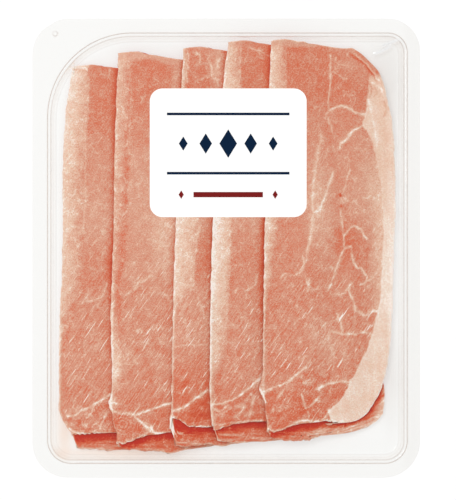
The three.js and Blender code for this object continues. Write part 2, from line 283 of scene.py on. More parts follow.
@dataclass(frozen=True)
class RoundedRect:
    """A rectangle with rounded corners, in mm. Radii run from the top right corner, leftwards."""

    x: float
    y: float
    width: float
    height: float
    radii: tuple[float, float, float, float]

    def inset(self, x: Array, y: Array) -> Array:
        """Distance of each place inside the outline, negative outside it.

        Args:
            x: Places across, in mm.
            y: Places along, in mm.

        Returns:
            Distances in mm: the corner's radius less the distance from its rounded core.
        """
        dx, dy = x - self.x, y - self.y
        top_right, top_left, low_left, low_right = self.radii
        radius = np.where(
            dy >= 0, np.where(dx >= 0, top_right, top_left), np.where(dx >= 0, low_right, low_left)
        )
        qx = np.abs(dx) - self.width / 2.0 + radius
        qy = np.abs(dy) - self.height / 2.0 + radius
        outside = np.hypot(np.maximum(qx, 0.0), np.maximum(qy, 0.0))
        return radius - np.minimum(np.maximum(qx, qy), 0.0) - outside

    def ring(self, inset: float, corner_steps: int, side_steps: int = 14) -> Array:
        """Points round the outline, counter-clockwise, drawn an inset inside it.

        Args:
            inset: How far inside the outline, in mm.
            corner_steps: Steps round each corner.
            side_steps: Steps along each straight side.

        Returns:
            One row of x and y for each point: circle arcs joined by straight runs.
        """
        sharpest = 0.4
        arcs = []
        for corner, (sx, sy) in enumerate(((1, 1), (-1, 1), (-1, -1), (1, -1))):
            radius = max(self.radii[corner] - inset, sharpest)
            centre_x = self.x + sx * (self.width / 2.0 - inset - radius)
            centre_y = self.y + sy * (self.height / 2.0 - inset - radius)
            angle = (corner + np.linspace(0.0, 1.0, corner_steps + 1)) * math.pi / 2.0
            arc = [centre_x + radius * np.cos(angle), centre_y + radius * np.sin(angle)]
            arcs.append(np.stack(arc, axis=1))
        share = (np.arange(1, side_steps) / side_steps)[:, None]
        runs = []
        for arc, following in zip(arcs, arcs[1:] + arcs[:1]):
            runs += [arc, mix(arc[-1], following[0], share)]
        return np.vstack(runs)

    def sides(self, y: Array) -> tuple[Array, Array]:
        """The outline's left and right x at each height, in mm, from its corner circles."""
        dy = y - self.y
        half = self.height / 2.0
        edges = []
        top_right, top_left, low_left, low_right = self.radii
        for radius_up, radius_down in ((top_left, low_left), (top_right, low_right)):
            radius = np.where(dy >= 0, radius_up, radius_down)
            into = np.clip(np.abs(dy) - half + radius, 0.0, radius)
            edges.append(self.width / 2.0 - radius + np.sqrt(np.maximum(radius**2 - into**2, 0.0)))
        return self.x - edges[0], self.x + edges[1]

    def rows(self, spacing: float, turn_steps: int = 24) -> Array:
        """Heights for the rows of a mesh, even along the sides and close together at the ends."""
        reach = max(self.radii)
        turn = np.linspace(0.0, math.pi / 2.0, turn_steps + 1)
        core = self.height / 2.0 - reach
        top = core + reach * np.sin(turn)
        middle = np.linspace(-core, core, max(int(2.0 * core / spacing), 2) + 1)
        return self.y + np.concatenate([-top[:0:-1], middle, top[1:]])


def cover_sheet(
    rect: RoundedRect, across: Array, rows: Array, upper: HeightField, lower: HeightField
) -> Array:
    """Points of a thin sheet that covers a rounded rectangle.

    Args:
        rect: The sheet's outline.
        across: Shares of the way from the left side to the right, rising from 0 to 1.
        rows: Heights of the rows, in mm.
        upper: Height of the upper face at a place.
        lower: Height of the lower face at a place.

    Returns:
        Points in the order that sheet_faces takes, upper face first.
    """
    left, right = rect.sides(rows)
    x = left[None, :] + (right - left)[None, :] * across[:, None]
    y = np.broadcast_to(rows[None, :], x.shape)
    faces = [np.stack([x, y, field(x, y)], axis=-1).reshape(-1, 3) for field in (upper, lower)]
    return np.vstack(faces)


@dataclass(frozen=True)
class Patch:
    """A soft-edged area that is painted stronger, or weaker where its strength is negative."""

    centre: Point
    radii: Point
    strength: float
    turn: float = 0.0

    def shade(self, x: Array, y: Array) -> Array:
        """Its strength at each place: a bell curve over an ellipse turned by some degrees."""
        angle = math.radians(self.turn)
        dx, dy = x - self.centre[0], y - self.centre[1]
        u = (dx * math.cos(angle) + dy * math.sin(angle)) / self.radii[0]
        v = (dy * math.cos(angle) - dx * math.sin(angle)) / self.radii[1]
        return self.strength * np.exp(-(u * u + v * v))


# ---------------------------------------------------------------- material nodes


def add_node(
    material: bpy.types.Material,
    kind: str,
    settings: dict[str, Any] | None = None,
    inputs: dict[int | str, Any] | None = None,
) -> bpy.types.Node:
    """Adds a node to a material with its settings and links.

    Args:
        material: The material whose tree gets the node.
        kind: Blender's name for the node's type.
        settings: Properties of the node, by name.
        inputs: For each input, by name or number, a value or the output that feeds it.

    Returns:
        The new node.
    """
    tree = material.node_tree
    node = tree.nodes.new(kind)
    for name, value in (settings or {}).items():
        setattr(node, name, value)
    for name, value in (inputs or {}).items():
        socket = node.inputs[name]
        if isinstance(value, bpy.types.NodeSocket):
            tree.links.new(value, socket)
        else:
            socket.default_value = value
    return node


def blank_material(name: str) -> bpy.types.Material:
    """Returns a new material with an empty tree."""
    material = bpy.data.materials.new(name)
    material.use_nodes = True
    material.node_tree.nodes.clear()
    return material


def mottled_colour(
    material: bpy.types.Material, colours: tuple[str, str], blot_mm: float, detail: float
) -> tuple[Any, Any]:
    """Blends two colours by a noise on Object coordinates.

    Args:
        material: The material that gets the nodes.
        colours: sRGB hex colours for where the noise is low and where it is high.
        blot_mm: Size of one blot, in mm.
        detail: How many finer layers the noise has.

    Returns:
        The noise's value and the blended colour, as outputs of nodes.
    """
    place = add_node(material, "ShaderNodeTexCoord").outputs["Object"]
    noise = add_node(
        material,
        "ShaderNodeTexNoise",
        inputs={"Vector": place, "Scale": 1.0 / (blot_mm * MM), "Detail": detail},
    ).outputs["Fac"]
    low, high = (linear(colour) for colour in colours)
    blend = add_node(material, "ShaderNodeMix", {"data_type": "RGBA"}, {0: noise, 6: low, 7: high})
    return noise, blend.outputs[2]


def set_ramp(node: bpy.types.Node, stops: Sequence[tuple[float, tuple[float, ...]]]) -> None:
    """Gives a colour ramp its stops, as pairs of place and linear colour."""
    elements = node.color_ramp.elements
    while len(elements) > 1:
        elements.remove(elements[-1])
    elements[0].position, elements[0].color = stops[0]
    for place, colour in stops[1:]:
        elements.new(place).color = colour


@dataclass(frozen=True)
class ClearPlastic:
    """Clear thermoformed or stretched polyester: it shows what lies behind it, with a clear gloss.

    Light passes straight through its two thin faces. The face that it meets mirrors a little, and
    much more where it turns away. Three painted layers add light and shade: shade paints shade at
    tight bends and grey reflections, the warm layer paints a reflection of the meat, and glint
    paints a highlight where sharp creases mirror the sky more.
    """

    name: str
    tint: str
    edge_tint: str
    ior: float
    roughness: float
    edge_blend: float
    shade_tint: str = "#b8a496"
    meat_reflection_tint: str = "#f2bf94"

    def build(self) -> bpy.types.Material:
        """Returns the material: a transparent shader mixed with a glossy one by Fresnel."""
        material = blank_material(self.name)
        facing = add_node(
            material, "ShaderNodeLayerWeight", inputs={"Blend": self.edge_blend}
        ).outputs["Facing"]
        shade, meat_reflection, glint = (
            add_node(material, "ShaderNodeAttribute", {"attribute_name": layer}).outputs["Fac"]
            for layer in ("shade", "meat_reflection", "glint")
        )
        colour: Any = linear(self.tint)
        # Painted shade and a painted reflection of the meat tint the plastic where their layers
        # say.
        for share, hex_colour in (
            (facing, self.edge_tint),
            (shade, self.shade_tint),
            (meat_reflection, self.meat_reflection_tint),
        ):
            colour = add_node(
                material,
                "ShaderNodeMix",
                {"data_type": "RGBA"},
                {0: share, 6: colour, 7: linear(hex_colour)},
            ).outputs[2]
        clear = add_node(material, "ShaderNodeBsdfTransparent", inputs={"Color": colour})
        gloss = add_node(
            material,
            "ShaderNodeBsdfGlossy",
            inputs={"Color": linear("#ffffff"), "Roughness": self.roughness},
        )
        mirror = add_node(material, "ShaderNodeFresnel", inputs={"IOR": self.ior}).outputs[0]
        leaving = add_node(material, "ShaderNodeNewGeometry").outputs["Backfacing"]
        entering = add_node(
            material, "ShaderNodeMath", {"operation": "SUBTRACT"}, {0: 1.0, 1: leaving}
        ).outputs[0]
        # glint paints a highlight: along sharp creases the plastic mirrors the sky more.
        share = add_node(
            material,
            "ShaderNodeMath",
            {"operation": "MULTIPLY_ADD", "use_clamp": True},
            {0: mirror, 1: entering, 2: glint},
        ).outputs[0]
        both = add_node(
            material,
            "ShaderNodeMixShader",
            inputs={0: share, 1: clear.outputs[0], 2: gloss.outputs[0]},
        )
        add_node(material, "ShaderNodeOutputMaterial", inputs={"Surface": both.outputs[0]})
        return material


@dataclass(frozen=True)
class CoatedPaper:
    """White coated label paper: a bright, smooth satin face with faint fibres under its coating."""

    name: str = "coated_label_paper"
    white: str = "#fbfbfa"
    shade: str = "#f4f3f1"
    roughness: float = 0.5
    fibre_mm: float = 0.6
    relief_mm: float = 0.02

    def build(self) -> bpy.types.Material:
        """Returns the material: near-white satin, mottled and embossed by fibre-sized noise."""
        material = blank_material(self.name)
        fibre, colour = mottled_colour(material, (self.shade, self.white), self.fibre_mm, 3.0)
        relief = add_node(
            material,
            "ShaderNodeBump",
            inputs={"Height": fibre, "Strength": 0.15, "Distance": self.relief_mm * MM},
        )
        paper = add_node(
            material,
            "ShaderNodeBsdfPrincipled",
            inputs={
                "Base Color": colour,
                "Roughness": self.roughness,
                "Normal": relief.outputs[0],
            },
        )
        add_node(material, "ShaderNodeOutputMaterial", inputs={"Surface": paper.outputs[0]})
        return material


@dataclass(frozen=True)
class PrintingInk:
    """Offset printing ink on coated paper: a solid field of colour, uneven in its cover."""

    name: str
    colour: str
    thin_colour: str
    roughness: float = 0.42
    cover_mm: float = 0.8

    def build(self) -> bpy.types.Material:
        """Returns the material: the ink's colour, slightly paler where noise thins its cover."""
        material = blank_material(self.name)
        _, colour = mottled_colour(
            material, (self.colour, self.thin_colour), self.cover_mm, 2.0
        )
        ink = add_node(
            material,
            "ShaderNodeBsdfPrincipled",
            inputs={
                "Base Color": colour,
                "Roughness": self.roughness,
                "Specular IOR Level": 0.05,
            },
        )
        add_node(material, "ShaderNodeOutputMaterial", inputs={"Surface": ink.outputs[0]})
        return material


@dataclass(frozen=True)
class CookedMeat:
    """Cooked, machine-sliced ham: moist, matt to satin, from deep red through pink to white fat.

    One painted value, paleness, says where a place lies on that range. Fine diagonal fibres, long
    bright streaks, short flecks, wisps of pale marbling and a fine grain come on top, as strongly
    as the painted layers say. The grain is drawn coarser than real grain, so that it shows.

    The noises are given by name, with a blot's size or a fibre's length and width in mm, a detail
    and a distortion. The steps turn them and the painted layers into pale, the final paleness, and
    height, the relief. Each gives its result's name, what is done, and up to three terms, which are
    numbers, layers, noises or earlier results.
    """

    name: str = "cooked_ham_meat"
    stops: tuple[tuple[float, str], ...] = (
        (0.00, "#ba2200"),
        (0.30, "#cc5a33"),
        (0.44, "#cd785a"),
        (0.51, "#ce896e"),
        (0.60, "#d39b82"),
        (0.70, "#daae95"),
        (0.80, "#e0bea7"),
        (0.87, "#e4c9b7"),
        (0.94, "#e8d6c6"),
        (1.00, "#f0e4db"),
    )
    roughness: float = 0.46
    relief_mm: float = 0.12
    depth_mm: float = 1.2
    fibre_slant: float = 56.0
    noises: tuple[tuple[str, tuple[float, ...], float, float], ...] = (
        ("mottle", (4.0,), 4.0, 0.0),
        ("grain", (0.62,), 2.0, 0.0),
        ("hair", (7.0, 0.6), 2.0, 0.3),
        ("fleck", (2.6, 0.7), 1.0, 0.6),
        ("streak", (11.0, 0.7), 1.0, 0.4),
        ("wisp", (5.0,), 3.0, 1.2),
    )
    steps: tuple[tuple[float | str, ...], ...] = (
        ("pale", "ADD", "paleness", "seam"),
        # Slow mottling, stronger where the meat is marbled.
        ("swing", "SUBTRACT", "mottle", 0.5),
        ("gain", "MULTIPLY_ADD", "marbling", 0.12, 0.08),
        ("pale", "MULTIPLY_ADD", "swing", "gain", "pale"),
        # Fine grain.
        ("swing", "SUBTRACT", "grain", 0.5),
        ("gain", "MULTIPLY_ADD", "marbling", 0.2, 0.36),
        ("pale", "MULTIPLY_ADD", "swing", "gain", "pale"),
        # Diagonal fibres.
        ("swing", "SUBTRACT", "hair", 0.5),
        ("gain", "MULTIPLY", "fibre", 0.55),
        ("pale", "MULTIPLY_ADD", "swing", "gain", "pale"),
        # Wisps: thin lines where a noise crosses its middle, kept where the mottling is pale.
        ("swing", "SUBTRACT", "wisp", 0.5),
        ("ridge", "ABSOLUTE", "swing"),
        ("beside", "SMOOTHSTEP", "ridge", 0.0, 0.03),
        ("thread", "SUBTRACT", 1.0, "beside"),
        ("kept", "SMOOTHSTEP", "mottle", 0.44, 0.62),
        ("thread", "MULTIPLY", "thread", "kept"),
        ("gain", "MULTIPLY", "marbling", 0.15),
        ("pale", "MULTIPLY_ADD", "thread", "gain", "pale"),
        # Short flecks and long streaks: the peaks of two slanted noises.
        ("bright", "SMOOTHSTEP", "fleck", 0.64, 0.74),
        ("gain", "MULTIPLY", "fibre", 0.2),
        ("pale", "MULTIPLY_ADD", "bright", "gain", "pale"),
        ("bright", "SMOOTHSTEP", "streak", 0.66, 0.74),
        ("gain", "MULTIPLY", "fibre", 0.5),
        ("pale", "MULTIPLY_ADD", "bright", "gain", "pale"),
        # Relief: fibres, grain and raised seams.
        ("height", "MULTIPLY_ADD", "hair", "fibre", "grain"),
        ("height", "MULTIPLY_ADD", "seam", 1.5, "height"),
    )

    def add_noises(self, material: bpy.types.Material) -> dict[str, Any]:
        """Adds the noises on Object coordinates.

        Args:
            material: The material that gets the nodes.

        Returns:
            The output of each noise by name. Fibres lie along a slant, as long and as wide as said.
        """
        place = add_node(material, "ShaderNodeTexCoord").outputs["Object"]
        values = {}
        for name, cell, detail, distortion in self.noises:
            vector, scale = place, 1.0 / (cell[0] * MM)
            if len(cell) == 2:
                length, width = cell[0] * MM, cell[1] * MM
                turned = add_node(
                    material,
                    "ShaderNodeMapping",
                    {"vector_type": "TEXTURE"},
                    {
                        "Vector": place,
                        "Rotation": (0.0, 0.0, math.radians(self.fibre_slant)),
                        "Scale": (length, width, width),
                    },
                )
                vector, scale = turned.outputs[0], 1.0
            noise = add_node(
                material,
                "ShaderNodeTexNoise",
                inputs={
                    "Vector": vector,
                    "Scale": scale,
                    "Detail": detail,
                    "Distortion": distortion,
                },
            )
            values[name] = noise.outputs["Fac"]
        return values

    def build(self) -> bpy.types.Material:
        """Returns the material: paleness plus fibres, wisps, flecks and grain, read by a ramp."""
        material = blank_material(self.name)
        values = self.add_noises(material)
        for layer in ("paleness", "seam", "fibre", "marbling"):
            painted = add_node(material, "ShaderNodeAttribute", {"attribute_name": layer})
            values[layer] = painted.outputs["Fac"]
        for name, action, *terms in self.steps:
            kind, setting = "ShaderNodeMath", "operation"
            if action == "SMOOTHSTEP":
                kind, setting = "ShaderNodeMapRange", "interpolation_type"
            inputs = {number: values.get(term, term) for number, term in enumerate(terms)}
            values[name] = add_node(material, kind, {setting: action}, inputs).outputs[0]

        ramp = add_node(material, "ShaderNodeValToRGB", inputs={0: values["pale"]})
        set_ramp(ramp, [(stop, linear(colour)) for stop, colour in self.stops])
        relief = add_node(
            material,
            "ShaderNodeBump",
            inputs={
                "Height": values["height"],
                "Strength": 0.35,
                "Distance": self.relief_mm * MM,
            },
        )
        meat = add_node(
            material,
            "ShaderNodeBsdfPrincipled",
            inputs={
                "Base Color": ramp.outputs["Color"],
                "Roughness": self.roughness,
                "IOR": 1.4,
                "Specular IOR Level": 0.3,
                "Subsurface Weight": 0.1,
                "Subsurface Radius": (1.0, 0.4, 0.25),
                "Subsurface Scale": self.depth_mm * MM,
                "Normal": relief.outputs[0],
            },
        )
        add_node(material, "ShaderNodeOutputMaterial", inputs={"Surface": meat.outputs[0]})
        return material


@dataclass(frozen=True)
class LightTable:
    """Opal acrylic of a light table: matt white, and lit evenly from below."""

    name: str = "opal_light_table"
    white: str = "#b1b1b1"
    cloudy: str = "#afafae"
    cloud_mm: float = 400.0
    glow: str = "#fbfbfc"
    glow_strength: float = 0.56

    def build(self) -> bpy.types.Material:
        """Returns the material: a matt white with a faint, slow unevenness, and a low glow."""
        material = blank_material(self.name)
        _, colour = mottled_colour(material, (self.white, self.cloudy), self.cloud_mm, 2.0)
        acrylic = add_node(
            material,
            "ShaderNodeBsdfPrincipled",
            inputs={
                "Base Color": colour,
                "Roughness": 0.9,
                "Emission Color": linear(self.glow),
                "Emission Strength": self.glow_strength,
            },
        )
        add_node(material, "ShaderNodeOutputMaterial", inputs={"Surface": acrylic.outputs[0]})
        return material


class Finish(Enum):
    """Every finish on the pack."""

    TRAY = ClearPlastic("clear_formed_polyester", "#fcfcfb", "#f6f3f0", 1.3, 0.06, 0.2)
    FILM = ClearPlastic("clear_stretched_film", "#fefefe", "#f4f2f0", 1.3, 0.05, 0.1)
    PAPER = CoatedPaper()
    NAVY = PrintingInk("navy_printing_ink", "#021a34", "#06203c")
    RED = PrintingInk("dark_red_printing_ink", "#6e1414", "#7c1e1c")
    MEAT = CookedMeat()


# ---------------------------------------------------------------- the pack's rounded outlines

FLANGE = RoundedRect(0.0, 0.0, 190.0, 225.0, (16.0, 18.0, 17.5, 18.0))
CAVITY = RoundedRect(0.6, 0.0, 176.4, 211.0, (9.5, 41.5, 11.5, 11.0))
LABEL = RoundedRect(1.0, 46.7, 76.8, 63.0, (6.3, 6.3, 6.3, 6.3))
TRAY_DEPTH = 14.0
TRAY_WALL = 0.5


# ---------------------------------------------------------------- tray


@dataclass
class FormedTray:
    """The clear formed tray: flange, narrow step, drafted wall, filleted floor and peel dimple.

    Lines are painted shade along the tight bends, as inset, width and strength. Greys are painted
    shade and soft grey reflections in the cavity, and the warm reflections are painted reflections
    of the meat.
    """

    wall: float = TRAY_WALL
    edge_round: float = 0.6
    ledge_inset: float = 1.5
    ledge_height: float = 12.4
    wall_foot_inset: float = 2.6
    floor_fillet: float = 2.0
    dimple: tuple[float, float] = (-83.8, 105.1)
    dimple_radius: float = 1.6
    dimple_depth: float = 0.9
    gather_reach: float = 7.0
    step_round: float = 0.4
    lines: tuple[tuple[float, float, float], ...] = (
        (0.05, 0.15, 0.85),
        (1.62, 0.14, 0.5),
        (3.5, 0.25, 0.12),
    )
    greys: tuple[Patch, ...] = (
        Patch((79.0, 80.0), (10.0, 24.0), 0.14),
        Patch((82.0, -64.0), (6.0, 20.0), 0.09),
    )
    warm_reflections: tuple[Patch, ...] = (
        Patch((-80.0, -90.0), (4.0, 14.0), 0.2),
        Patch((-50.0, -101.0), (30.0, 2.5), 0.2),
    )
    fillet_steps: int = 10
    round_steps: int = 6
    flange_steps: int = 24
    corner_steps: int = 88

    def section(self, offset: float) -> list[Point]:
        """The tray's section from the floor up to the flange.

        Args:
            offset: 0 for the inner face, or the wall's thickness for the underside.

        Returns:
            Pairs of inset from the cavity's edge and height: a quarter circle at the floor, the
            drafted wall, a quarter circle into the narrow step, and one over the flange's edge.
        """
        radius = self.floor_fillet + offset
        foot = self.wall_foot_inset - offset
        turn = np.linspace(0.0, math.pi / 2.0, self.fillet_steps + 1)
        line = [
            (foot + radius * (1.0 - math.sin(t)), self.wall - offset + radius * (1.0 - math.cos(t)))
            for t in turn
        ]
        shoulder = self.ledge_height - offset / 2.0
        inner = self.ledge_inset - offset
        high = (inner + 0.1, shoulder - self.step_round)
        line += [
            (mix(line[-1][0], high[0], share), mix(line[-1][1], high[1], share))
            for share in (0.2, 0.4, 0.55, 0.7, 0.85)
        ]
        line.append(high)
        line += [(inner, shoulder), (inner - self.step_round, shoulder + 0.08)]
        line.append((self.edge_round / 2.0 - offset, shoulder + self.edge_round / 2.0))
        lip = self.edge_round
        top = TRAY_DEPTH - offset
        for t in np.linspace(0.0, math.pi / 2.0, self.round_steps + 1):
            line.append((-offset - lip * (1.0 - math.cos(t)), top - lip * (1.0 - math.sin(t))))
        return line

    def skin(self, offset: float) -> Array:
        """Rings of points for one face of the tray, from the floor out to the flange's rim.

        Args:
            offset: 0 for the inner face, or the wall's thickness for the underside.

        Returns:
            An array of rings, points and coordinates. The flange's rings blend from the cavity's
            edge to the rim, and close up round the peel dimple.
        """
        line = self.section(offset)
        floor_inset, floor_height = line[0]
        centre = np.array([CAVITY.x, CAVITY.y])
        rings = []
        for share in (0.25, 0.5, 0.7, 0.78, 0.84, 0.88, 0.91, 0.935, 0.955, 0.97, 0.985):
            flat = mix(centre, CAVITY.ring(floor_inset, self.corner_steps), share)
            rings.append(np.column_stack([flat, np.full(len(flat), floor_height)]))
        for inset, height in line:
            flat = CAVITY.ring(inset, self.corner_steps)
            rings.append(np.column_stack([flat, np.full(len(flat), height)]))
        edge = CAVITY.ring(line[-1][0], self.corner_steps)
        rim = FLANGE.ring(0.0, self.corner_steps)
        for step in range(1, self.flange_steps + 1):
            flat = self.gather(mix(edge, rim, step / self.flange_steps))
            height = TRAY_DEPTH - offset - self.dimple_drop(flat)
            rings.append(np.column_stack([flat, height]))
        return np.stack(rings)

    def gather(self, flat: Array) -> Array:
        """Draws mesh points together round the dimple, so that its small bowl is smooth.

        Args:
            flat: Points on the flange, in mm.

        Returns:
            The points. Those within gather_reach lie at 0.3 of their distance or more.
        """
        centre = np.array(self.dimple)
        away = flat - centre
        distance = np.hypot(away[:, 0], away[:, 1])
        keep = mix(0.3, 1.0, smoothstep(distance / self.gather_reach))
        return centre + away * keep[:, None]

    def dimple_drop(self, flat: Array) -> Array:
        """Depth of the peel dimple at each point: a bowl, (1 - (r / radius)^2)^2 of its depth."""
        distance = np.hypot(flat[:, 0] - self.dimple[0], flat[:, 1] - self.dimple[1])
        return self.dimple_depth * clamp01(1.0 - (distance / self.dimple_radius) ** 2) ** 2

    def paint(self, points: Array) -> dict[str, Array]:
        """Paints shade along the tight bends, and soft shade and reflections in the cavity.

        Args:
            points: The shell's points, in mm.

        Returns:
            The painted layers by name: shade, and the painted reflection of the meat.
        """
        x, y = points[:, 0], points[:, 1]
        inset = CAVITY.inset(x, y)
        # Painted shade along the tight bends, kept to the inner face.
        bends = sum(strength * bell(inset - place, width) for place, width, strength in self.lines)
        upper_skin = np.arange(len(points)) < len(points) // 2
        within = smoothstep(inset / 1.5)
        # Painted shade and grey reflections in the cavity: at its top, along the wall, in patches.
        top_shade = 0.012 * bell(y - 98.0, 5.0) * smoothstep((x + 72.0) / 16.0)
        bank = 0.012 * bell(inset - 8.0, 3.0) * (0.5 + 0.5 * ripple(x, y, 60.0, 51))
        soft = top_shade + bank + sum(grey.shade(x, y) for grey in self.greys)
        # Painted shade on the flange, darker towards its right side.
        on_flange = 0.015 + 0.025 * smoothstep((x - 84.0) / 6.0)
        shade = bends * upper_skin + within * soft + on_flange * (1.0 - within)

        # Painted shade in a ring round the peel dimple, darker on its lower right.
        dx, dy = x - self.dimple[0], y - self.dimple[1]
        shaded_side = 0.35 + 0.65 * clamp01((dx - dy) / 2.0 + 0.5)
        shade = shade + 0.24 * shaded_side * bell(np.hypot(dx, dy) - 1.15, 0.32)
        # Painted warm reflections of the meat in the cavity.
        meat_reflection = sum(glow.shade(x, y) for glow in self.warm_reflections)
        return {"shade": clamp01(shade), "meat_reflection": within * clamp01(meat_reflection)}

    def build(self) -> None:
        """Makes the tray as one closed shell, through the inner face, the rim and the underside."""
        inner = self.skin(0.0)
        outer = self.skin(self.wall)[::-1]
        rings = np.concatenate([inner, outer])
        count = rings.shape[1]
        centre = [CAVITY.x, CAVITY.y]
        points = np.vstack([rings.reshape(-1, 3), [centre + [self.wall], centre + [0.0]]])
        index = np.arange(rings.shape[0] * count).reshape(rings.shape[0], count)
        onward = np.roll(index, -1, axis=1)
        walls = np.stack([index[:-1], index[1:], onward[1:], onward[:-1]], axis=-1).reshape(-1, 4)
        top, bottom = len(points) - 2, len(points) - 1
        ends = np.vstack(
            [
                np.column_stack([np.full(count, top), index[0], onward[0]]),
                np.column_stack([np.full(count, bottom), onward[-1], index[-1]]),
            ]
        )
        piece = make_piece("formed_tray", points, [walls, ends], self.paint(points))
        let_light_through(piece)
        install(piece, Finish.TRAY.value.build(), "tray")


# ---------------------------------------------------------------- lid film and label


@dataclass
class LidFilm:
    """The clear film: flat on the flange, domed over the cavity, creased at one corner.

    A crease is its course and its rise. The mesh is finer in a band of rows and of columns, given
    in mm and as shares of the width, where the creases run.
    """

    gap: float = 0.1
    thickness: float = 0.2
    dome: float = 0.9
    spring: float = 12.0
    creases: tuple[tuple[Curve, float], ...] = (
        (((77.0, 99.3), (80.5, 100.6), (83.5, 101.9)), 0.2),
        (((73.0, 95.4), (76.5, 96.6), (80.2, 98.9)), 0.26),
    )
    crease_width: float = 0.8
    fine_rows: Point = (93.0, 104.0)
    fine_columns: Point = (0.865, 0.945)

    def dome_rise(self, x: Array, y: Array) -> Array:
        """Rise of the dome: (1 - u^4)(1 - v^4), eased in from the cavity's edge."""
        u = clamp01(2.0 * np.abs(x - CAVITY.x) / CAVITY.width)
        v = clamp01(2.0 * np.abs(y - CAVITY.y) / CAVITY.height)
        eased = smoothstep(CAVITY.inset(x, y) / self.spring)
        return self.dome * (1.0 - u**4) * (1.0 - v**4) * eased

    def under(self, x: Array, y: Array) -> Array:
        """Height of the film's underside: the flange, the seal's gap, the dome and the creases."""
        height = TRAY_DEPTH + self.gap + self.dome_rise(x, y)
        for course, rise in self.creases:
            height = height + rise * bell(distance_to(course, x, y), self.crease_width)
        return height

    def top(self, x: Array, y: Array) -> Array:
        """Height of the film's upper face."""
        return self.under(x, y) + self.thickness

    def paint(self, points: Array) -> dict[str, Array]:
        """Paints the creases: a sharp ridge that catches the sky, with a soft shade under it."""
        x, y = points[:, 0], points[:, 1]
        glint, shade = np.zeros(len(points)), np.zeros(len(points))
        for course, _ in self.creases:
            glint = np.maximum(glint, 0.8 * bell(distance_to(course, x, y), 0.6))
            below = distance_to(course, x - 0.5, y + 1.3)
            shade = np.maximum(shade, 0.05 * bell(below, 1.2))
        return {"glint": glint, "shade": shade}

    def columns(self, coarse: float = 0.012, fine: float = 0.0026) -> Array:
        """Places of mesh columns, closer together within the band that the creases cross.

        Args:
            coarse: Spacing outside the band, as a share of the width.
            fine: Spacing inside it.

        Returns:
            Rising shares of the width, from 0 to 1.
        """
        low, high = self.fine_columns
        inside = np.linspace(low, high, int((high - low) / fine) + 1)
        before = np.linspace(0.0, low, int(low / coarse) + 1)
        after = np.linspace(high, 1.0, int((1.0 - high) / coarse) + 1)
        return np.concatenate([before[:-1], inside, after[1:]])

    def build(self) -> None:
        """Makes the film as a closed sheet on the flange's outline."""
        across = self.columns()
        low, high = self.fine_rows
        rows = FLANGE.rows(2.4)
        rows = rows[(rows < low) | (rows > high)]
        rows = np.unique(np.concatenate([rows, np.linspace(low, high, 23)]))
        points = cover_sheet(FLANGE, across, rows, self.top, self.under)
        faces = sheet_faces(len(across), len(rows))
        piece = make_piece("sealed_film", points, faces, self.paint(points))
        let_light_through(piece)
        install(piece, Finish.FILM.value.build(), "lid_film")


